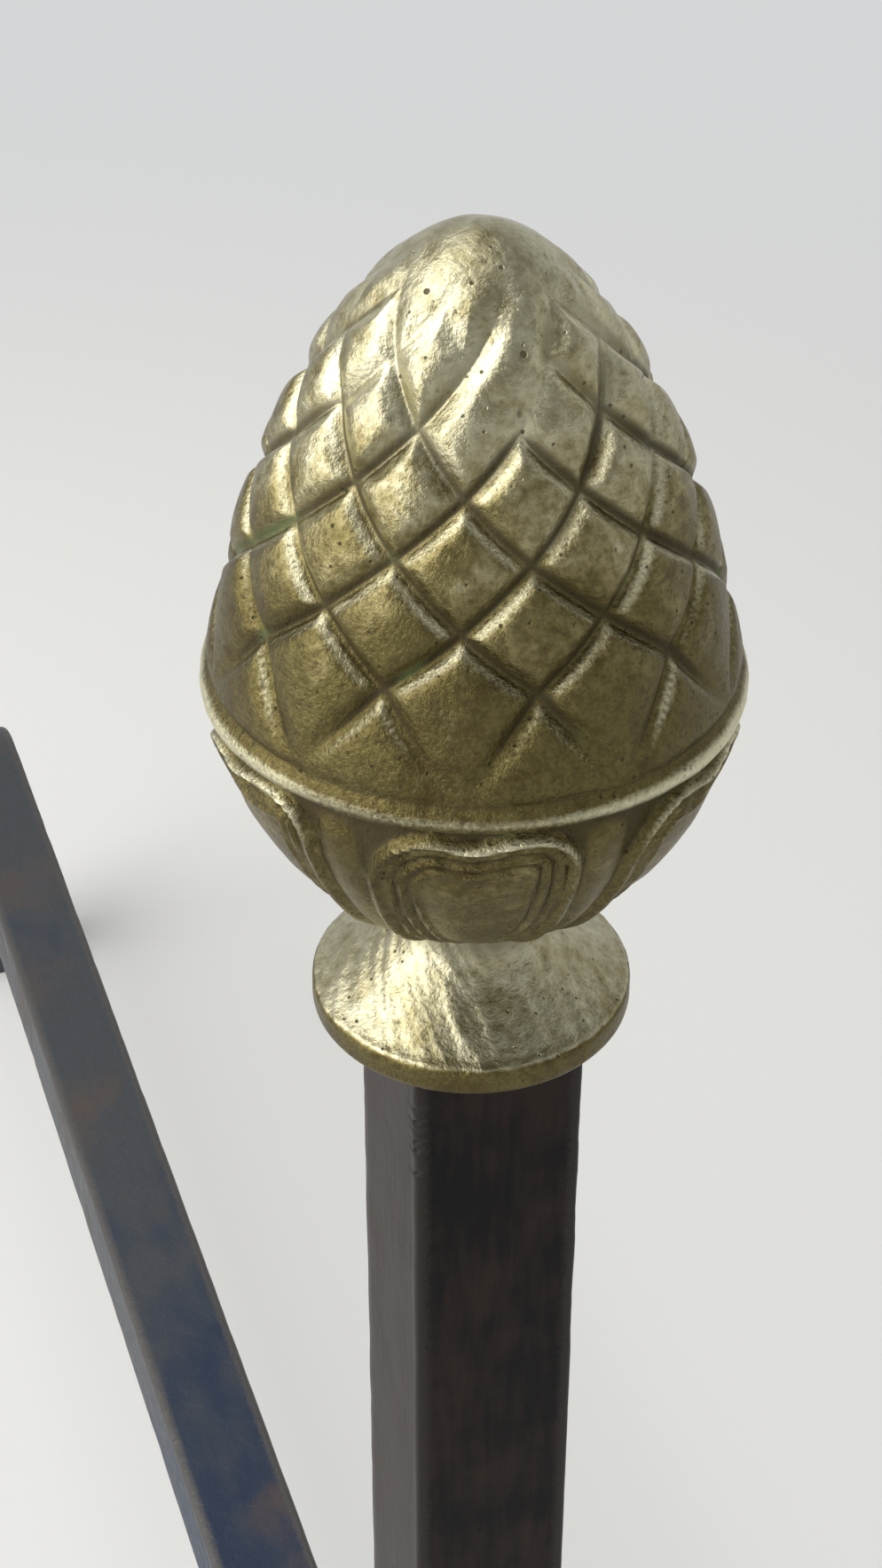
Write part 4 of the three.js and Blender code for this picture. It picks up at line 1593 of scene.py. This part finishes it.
@dataclass
class FrontArch:
    """The two front legs: one bar, swollen round its punched hole and spread into two round feet."""

    bar: ForgedBar
    crown: Vector
    side: float
    reach: float

    crown_flat: float = 36.0 * MM
    crown_width: float = 26.0 * MM
    swell_length: float = 46.0 * MM
    leg_turn: float = 68.0
    shoulder_radius: float = 38.0 * MM
    ankle_radius: float = 30.0 * MM
    leg_end_thickness: float = 5.2 * MM
    leg_end_width: float = 24.0 * MM
    foot_radius: float = 20.0 * MM
    foot_thickness: float = 6.0 * MM
    foot_rounding: float = 1.6 * MM
    foot_blend: float = 6.0 * MM
    foot_spread: float = 0.6
    foot_rim: float = 0.45
    foot_sections: int = 22
    foot_end: float = 0.4 * MM
    arris: float = 1.1 * MM
    shank_hole: float = SHANK_HOLE
    shank_side: float = SHANK_SIDE
    punch_stretch: float = 2.5
    seat_flat: Span = (14.0 * MM, 24.0 * MM)
    seat_depth: float = 1.2
    grain: Triple = (0.3, 1.0, 0.3)
    step: float = 1.4 * MM

    @property
    def foot_reach(self) -> float:
        """From the middle of the arch to the centre of each foot."""
        return self.reach - self.foot_radius

    def half_path(self) -> tuple[list[Triple], float, float]:
        """Sets out one leg's line from the middle of the crown.

        Returns:
            The line, and how far from the middle its two bends end.
        """
        turn = math.radians(self.leg_turn)
        crown_centre = self.crown.z - self.side / 2
        drop = (self.shoulder_radius + self.ankle_radius) * (1 - math.cos(turn))
        steep = (crown_centre - self.foot_thickness / 2 - drop) / math.sin(turn)
        path = BentPath(self.step, [(0.0, crown_centre, 0.0)])
        path.straight(self.crown_flat / 2).bend(self.shoulder_radius, -self.leg_turn)
        shoulder = path.marks[-1][0]
        path.straight(steep).bend(self.ankle_radius, self.leg_turn)
        ankle = path.marks[-1][0]
        path.straight(self.foot_reach - ankle)
        for angle in np.linspace(0, math.pi / 2, self.foot_sections)[1:]:
            reach = self.foot_reach + self.foot_radius * math.sin(angle)
            path.marks.append((reach, self.foot_thickness / 2, 0.0))
        return path.marks, shoulder, ankle

    def sizes(self, reach: float, shoulder: float, ankle: float) -> Triple:
        """The bar's size at one place.

        Args:
            reach: Distance of the place from the middle of the arch.
            shoulder: Reach at which the bend under the crown ends.
            ankle: Reach at which the bend above the foot ends.

        Returns:
            Half width, thickness and rounding.
        """
        swell = (self.crown_width - self.side) * (
            1 - smoothstep(reach, self.shank_side / 2, self.swell_length / 2))
        drawn = float(smoothstep(reach, shoulder, ankle))
        half = float(mix(self.side, self.leg_end_width, drawn) + swell) / 2
        thickness = float(mix(self.side, self.leg_end_thickness, drawn))
        from_foot = reach - self.foot_reach
        disc = math.sqrt(max(self.foot_radius ** 2 - from_foot ** 2, 0.0))
        if from_foot >= 0:
            half = disc
        elif disc > 0:
            half = float(-soft_min(np.array(-half), -disc, self.foot_blend))
        spread = float(smoothstep(reach, ankle, self.foot_reach - self.foot_spread * self.foot_radius))
        thickness = float(mix(thickness, self.foot_thickness, spread))
        rounding = float(mix(self.arris, self.foot_rounding, spread))
        if from_foot > 0:
            rim = min(max((self.foot_radius - from_foot) / self.foot_rounding, 0.0), 1.0)
            thickness *= mix(self.foot_rim, 1.0, math.sqrt(1 - (1 - rim) ** 2))
        return max(half, self.foot_end), thickness, rounding

    def model(self) -> bpy.types.Object:
        """Makes the arch, with its punched hole.

        Returns:
            The arch, in its place.
        """
        marks, shoulder, ankle = self.half_path()
        left = [(-along, up, -heading) for along, up, heading in reversed(marks[1:])]
        stations = []
        for along, up, heading in left + marks:
            half, thickness, rounding = self.sizes(abs(along), shoulder, ankle)
            stations.append(Station(
                Vector((self.crown.x + along, self.crown.y, up)),
                Vector((math.cos(heading), 0, math.sin(heading))),
                Vector((-math.sin(heading), 0, math.cos(heading))),
                half, thickness / 2, -thickness / 2, rounding))
        piece = self.bar.model(stations, self.hammered)
        stand_on_floor(piece)
        crown_middle = Vector((self.crown.x, self.crown.y, self.crown.z - self.side / 2))
        punch_square(piece, self.shank_hole, crown_middle, self.punch_stretch)
        smooth(piece, BAR_CREASE)
        return piece

    def build(self) -> None:
        """Makes the arch and puts it in its place, in forged iron."""
        iron = ForgedIron().make("forged_iron_arch", self.grain)
        hand_over(self.model(), "front_arch_forged", "front_arch", iron)

    def hammered(self, points: np.ndarray) -> np.ndarray:
        """Keeps the seat of the post and the soles of the feet flat.

        Args:
            points: Points on the arch.

        Returns:
            How much of the hammering each takes, from 0 to 1.
        """
        from_post = np.hypot(points[:, 0] - self.crown.x, points[:, 1] - self.crown.y)
        high = points[:, 2] > self.crown.z - self.seat_depth * self.side
        seat = np.where(high, smoothstep(from_post, *self.seat_flat), 1.0)
        return seat * smoothstep(points[:, 2], *SOLE_FLAT)


@dataclass
class LogBar:
    """The log bar: held by its flattened end under the arch, it runs back and turns down to the floor."""

    bar: ForgedBar
    post_axis: Vector
    side: float
    top: float
    crown_bottom: float
    rear: float

    shoulder_face: float = 13.3 * MM
    bend_radius: float = 24.0 * MM
    tab_thickness: float = 8.0 * MM
    tab_width: float = 28.6 * MM
    tab_nose: float = 14.0 * MM
    tab_flare: float = 24.0 * MM
    tab_sections: int = 10
    nose_sections: int = 18
    nose_start: float = 0.06
    shoulder_gap: float = 0.05 * MM
    arris: float = 1.1 * MM
    shank_hole: float = SHANK_HOLE
    hammered_behind: Span = (1.0 * MM, 10.0 * MM)
    step: float = 1.5 * MM

    def stations(self) -> list[Station]:
        """Sets out the log bar.

        Returns:
            Sections from the tip of the tab, back along the bar and down to the floor.
        """
        half_bar = self.side / 2
        centre = self.top - half_bar
        found = []

        def add(along: float, up: float, heading: float, half: float, top: float) -> None:
            """Adds one section."""
            found.append(Station(
                Vector((self.post_axis.x, self.post_axis.y + along, up)),
                Vector((0, math.cos(heading), math.sin(heading))),
                Vector((0, -math.sin(heading), math.cos(heading))),
                half, top, -half_bar, self.arris))

        tab_top = self.crown_bottom - centre
        corner = self.tab_nose - self.arris
        half_tab = self.tab_width / 2
        for angle in np.linspace(self.nose_start, math.pi / 2, self.nose_sections):
            along = -self.tab_nose + corner * (1 - math.cos(angle))
            add(along, centre, 0.0, half_tab - corner * (1 - math.sin(angle)), tab_top)
        tab_end = self.shoulder_face - self.shoulder_gap
        for along in np.linspace(-self.arris, tab_end, self.tab_sections)[1:]:
            add(float(along), centre, 0.0, half_tab, tab_top)
        path = BentPath(self.step, [(self.shoulder_face, centre, 0.0)])
        path.straight(self.rear - self.bend_radius - self.shoulder_face)
        path.bend(self.bend_radius, -90.0).straight(centre - self.bend_radius)
        for along, up, heading in path.marks:
            flare = 1 - float(smoothstep(along - self.shoulder_face, 0, self.tab_flare))
            add(along, up, heading, half_bar + (half_tab - half_bar) * flare, half_bar)
        return found

    def model(self) -> bpy.types.Object:
        """Makes the log bar, with its punched hole.

        Returns:
            The log bar, in its place.
        """
        piece = self.bar.model(self.stations(), self.hammered)
        stand_on_floor(piece)
        tab_middle = self.crown_bottom - self.tab_thickness / 2
        punch_square(piece, self.shank_hole, Vector((self.post_axis.x, self.post_axis.y, tab_middle)))
        smooth(piece, BAR_CREASE)
        return piece

    def build(self) -> None:
        """Makes the log bar and puts it in its place, in fire-scaled iron."""
        hand_over(self.model(), "log_bar_forged", "log_bar", ScaledIron().make())

    def hammered(self, points: np.ndarray) -> np.ndarray:
        """Keeps the tab and the sole of the rear leg flat.

        Args:
            points: Points on the log bar.

        Returns:
            How much of the hammering each takes, from 0 to 1.
        """
        behind = points[:, 1] - self.post_axis.y
        back = smoothstep(behind, *(self.shoulder_face + run for run in self.hammered_behind))
        return back * smoothstep(points[:, 2], *SOLE_FLAT)


@dataclass(frozen=True)
class Fasteners:
    """The stud, the washer and the nut, which keep the frame's own shapes."""

    names: tuple[str, ...] = ("finial_stud", "shank_washer", "shank_nut")

    def build(self, frame: Mapping[str, Any]) -> None:
        """Gives each its steel.

        Args:
            frame: What the frame was loaded as.
        """
        steel = PlainSteel().make()
        for name in self.names:
            node = frame["nodes"][name]
            node.data.materials.clear()
            node.data.materials.append(steel)
            log.info("%s: kept, in plain steel", name)


# ---- The studio ------------------------------------------------------------------------------


@dataclass(frozen=True)
class Lamp:
    """One soft lamp with a rectangular face."""

    name: str
    place: Triple
    aim: Triple
    width: float
    length: float
    power: float
    colour: Colour = (1.0, 1.0, 1.0)

    def light(self) -> None:
        """Hangs the lamp and points it."""
        data = bpy.data.lights.new(self.name, "AREA")
        data.shape = "RECTANGLE"
        data.size = self.width
        data.size_y = self.length
        data.energy = self.power
        data.color = self.colour
        lamp = bpy.data.objects.new(self.name, data)
        bpy.context.scene.collection.objects.link(lamp)
        lamp.location = self.place
        lamp.rotation_euler = (Vector(self.aim) - Vector(self.place)).to_track_quat("-Z", "Y").to_euler()
        lamp.visible_camera = False


@dataclass(frozen=True)
class Studio:
    """A plain pale floor, soft lamps and the camera at the photograph's angle."""

    floor_radius: float = 30.0
    floor_sides: int = 128
    floor_colour: Colour = (0.78, 0.775, 0.755)
    floor_roughness: float = 0.9
    wall_colour: Colour = (0.98, 0.99, 1.0)
    wall_level: float = 0.68
    wall_reach: Span = (0.30, 0.95)
    sky_level: float = 0.34
    sky_from: Span = (0.30, 0.75)
    camera_place: Triple = (-0.0742, -0.4092, 0.5116)
    camera_heading: Span = (0.3218, 0.9464)
    camera_pitch: float = 36.05
    camera_roll: float = 0.05
    focal_pixels: float = 3050.0
    image_height: float = 1767.0
    sensor: float = 36.0
    nearest_seen: float = 0.02
    lamps: tuple[Lamp, ...] = (
        Lamp("window", (-1.05, 0.02, 1.65), (0.0, -0.2, 0.37), 1.4, 1.3, 18.5, (1.0, 0.995, 0.98)),
        Lamp("overhead_softbox", (-0.2, 0.5, 2.0), (-0.2, 0.49, 0.0), 1.2, 1.8, 7.0, (1.0, 0.99, 0.96)),
        Lamp("left_panel", (-1.4, -0.25, 0.72), (0, -0.2, 0.42), 1.3, 1.1, 12.0, (1.0, 0.99, 0.98)),
    )

    def lay_floor(self) -> None:
        """Lays the floor, which takes on the pale tone of the walls with distance."""
        bpy.ops.mesh.primitive_circle_add(
            vertices=self.floor_sides, radius=self.floor_radius, fill_type="NGON")
        floor = bpy.context.object
        floor.name = "floor"
        sheet = FinishSheet("pale_floor")
        material = sheet.finish(base_color=self.floor_colour, roughness=self.floor_roughness)
        distance = sheet.node("ShaderNodeVectorMath", {"operation": "LENGTH"}, {0: sheet.place}, "Value")
        ray = {name: sheet.node("ShaderNodeLightPath", output=name)
               for name in ("Is Camera Ray", "Is Glossy Ray", "Is Transmission Ray")}
        seen = ray["Is Camera Ray"] + ray["Is Glossy Ray"] + ray["Is Transmission Ray"]
        wall = sheet.node("ShaderNodeEmission", None, {
            "Color": (*self.wall_colour, 1.0), "Strength": self.wall_level}, "Emission")
        near = Strand(sheet, sheet.shader.outputs["BSDF"])
        both = sheet.node("ShaderNodeMixShader", None, {
            0: sheet.step(distance, *self.wall_reach) * seen, 1: near, 2: wall})
        sheet.feed(sheet.tree.nodes["Material Output"].inputs["Surface"], both)
        floor.data.materials.append(material)

    def hang_sky(self) -> None:
        """Gives the room pale walls and plain soft light from above."""
        world = bpy.data.worlds.new("room")
        world.use_nodes = True
        nodes, links = world.node_tree.nodes, world.node_tree.links
        background = nodes["Background"]
        background.inputs["Color"].default_value = (*self.wall_colour, 1.0)
        direction = nodes.new("ShaderNodeTexCoord")
        split = nodes.new("ShaderNodeSeparateXYZ")
        ramp = nodes.new("ShaderNodeMapRange")
        ramp.interpolation_type = "SMOOTHSTEP"
        links.new(direction.outputs["Generated"], split.inputs[0])
        links.new(split.outputs["Z"], ramp.inputs["Value"])
        ramp.inputs["From Min"].default_value, ramp.inputs["From Max"].default_value = self.sky_from
        ramp.inputs["To Min"].default_value = self.wall_level
        ramp.inputs["To Max"].default_value = self.sky_level
        links.new(ramp.outputs["Result"], background.inputs["Strength"])
        bpy.context.scene.world = world

    def place_camera(self) -> None:
        """Sets the camera up at the photograph's angle."""
        data = bpy.data.cameras.new("camera")
        data.sensor_width = self.sensor
        data.sensor_fit = "AUTO"
        data.lens = self.sensor * self.focal_pixels / self.image_height
        data.clip_start = self.nearest_seen
        data.dof.use_dof = False
        camera = bpy.data.objects.new("camera", data)
        bpy.context.scene.collection.objects.link(camera)
        level = math.cos(math.radians(self.camera_pitch))
        heading = Vector((*self.camera_heading, 0)).normalized() * level
        heading.z = -math.sin(math.radians(self.camera_pitch))
        facing = heading.to_track_quat("-Z", "Y").to_matrix()
        roll = Matrix.Rotation(math.radians(self.camera_roll), 3, "Z")
        camera.matrix_world = Matrix.Translation(self.camera_place) @ (facing @ roll).to_4x4()
        bpy.context.scene.camera = camera

    def build(self) -> None:
        """Sets up the whole studio."""
        self.lay_floor()
        self.hang_sky()
        for lamp in self.lamps:
            lamp.light()
        self.place_camera()
        bpy.context.scene.view_settings.view_transform = "Standard"


# ---- The andiron -----------------------------------------------------------------------------


def main() -> None:
    """Loads the frame, dresses the andiron and lights it."""
    logging.basicConfig(level=logging.INFO, format="%(name)s: %(message)s")
    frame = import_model()
    deselect_all()

    post_low, post_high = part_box("post")
    arch_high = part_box("front_arch")[1]
    bar_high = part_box("log_bar")[1]
    washer_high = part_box("shank_washer")[1]
    axis = (post_low + post_high) / 2
    side = post_high.x - post_low.x

    CastFinial(axis=axis, post_top=post_high.z).build()
    SquarePost(bar=ForgedBar(), foot=Vector((axis.x, axis.y, 0)), side=side, crown_top=arch_high.z,
               top=post_high.z, bottom=post_low.z, washer_top=washer_high.z).build()
    FrontArch(bar=ForgedBar(), crown=Vector((axis.x, axis.y, arch_high.z)), side=side,
              reach=arch_high.x).build()
    LogBar(bar=ForgedBar(), post_axis=Vector((axis.x, axis.y, 0)), side=side, top=bar_high.z,
           crown_bottom=arch_high.z - side, rear=bar_high.y - side / 2 - axis.y).build()
    Fasteners().build(frame)
    Studio().build()


if __name__ == "__main__":
    main()
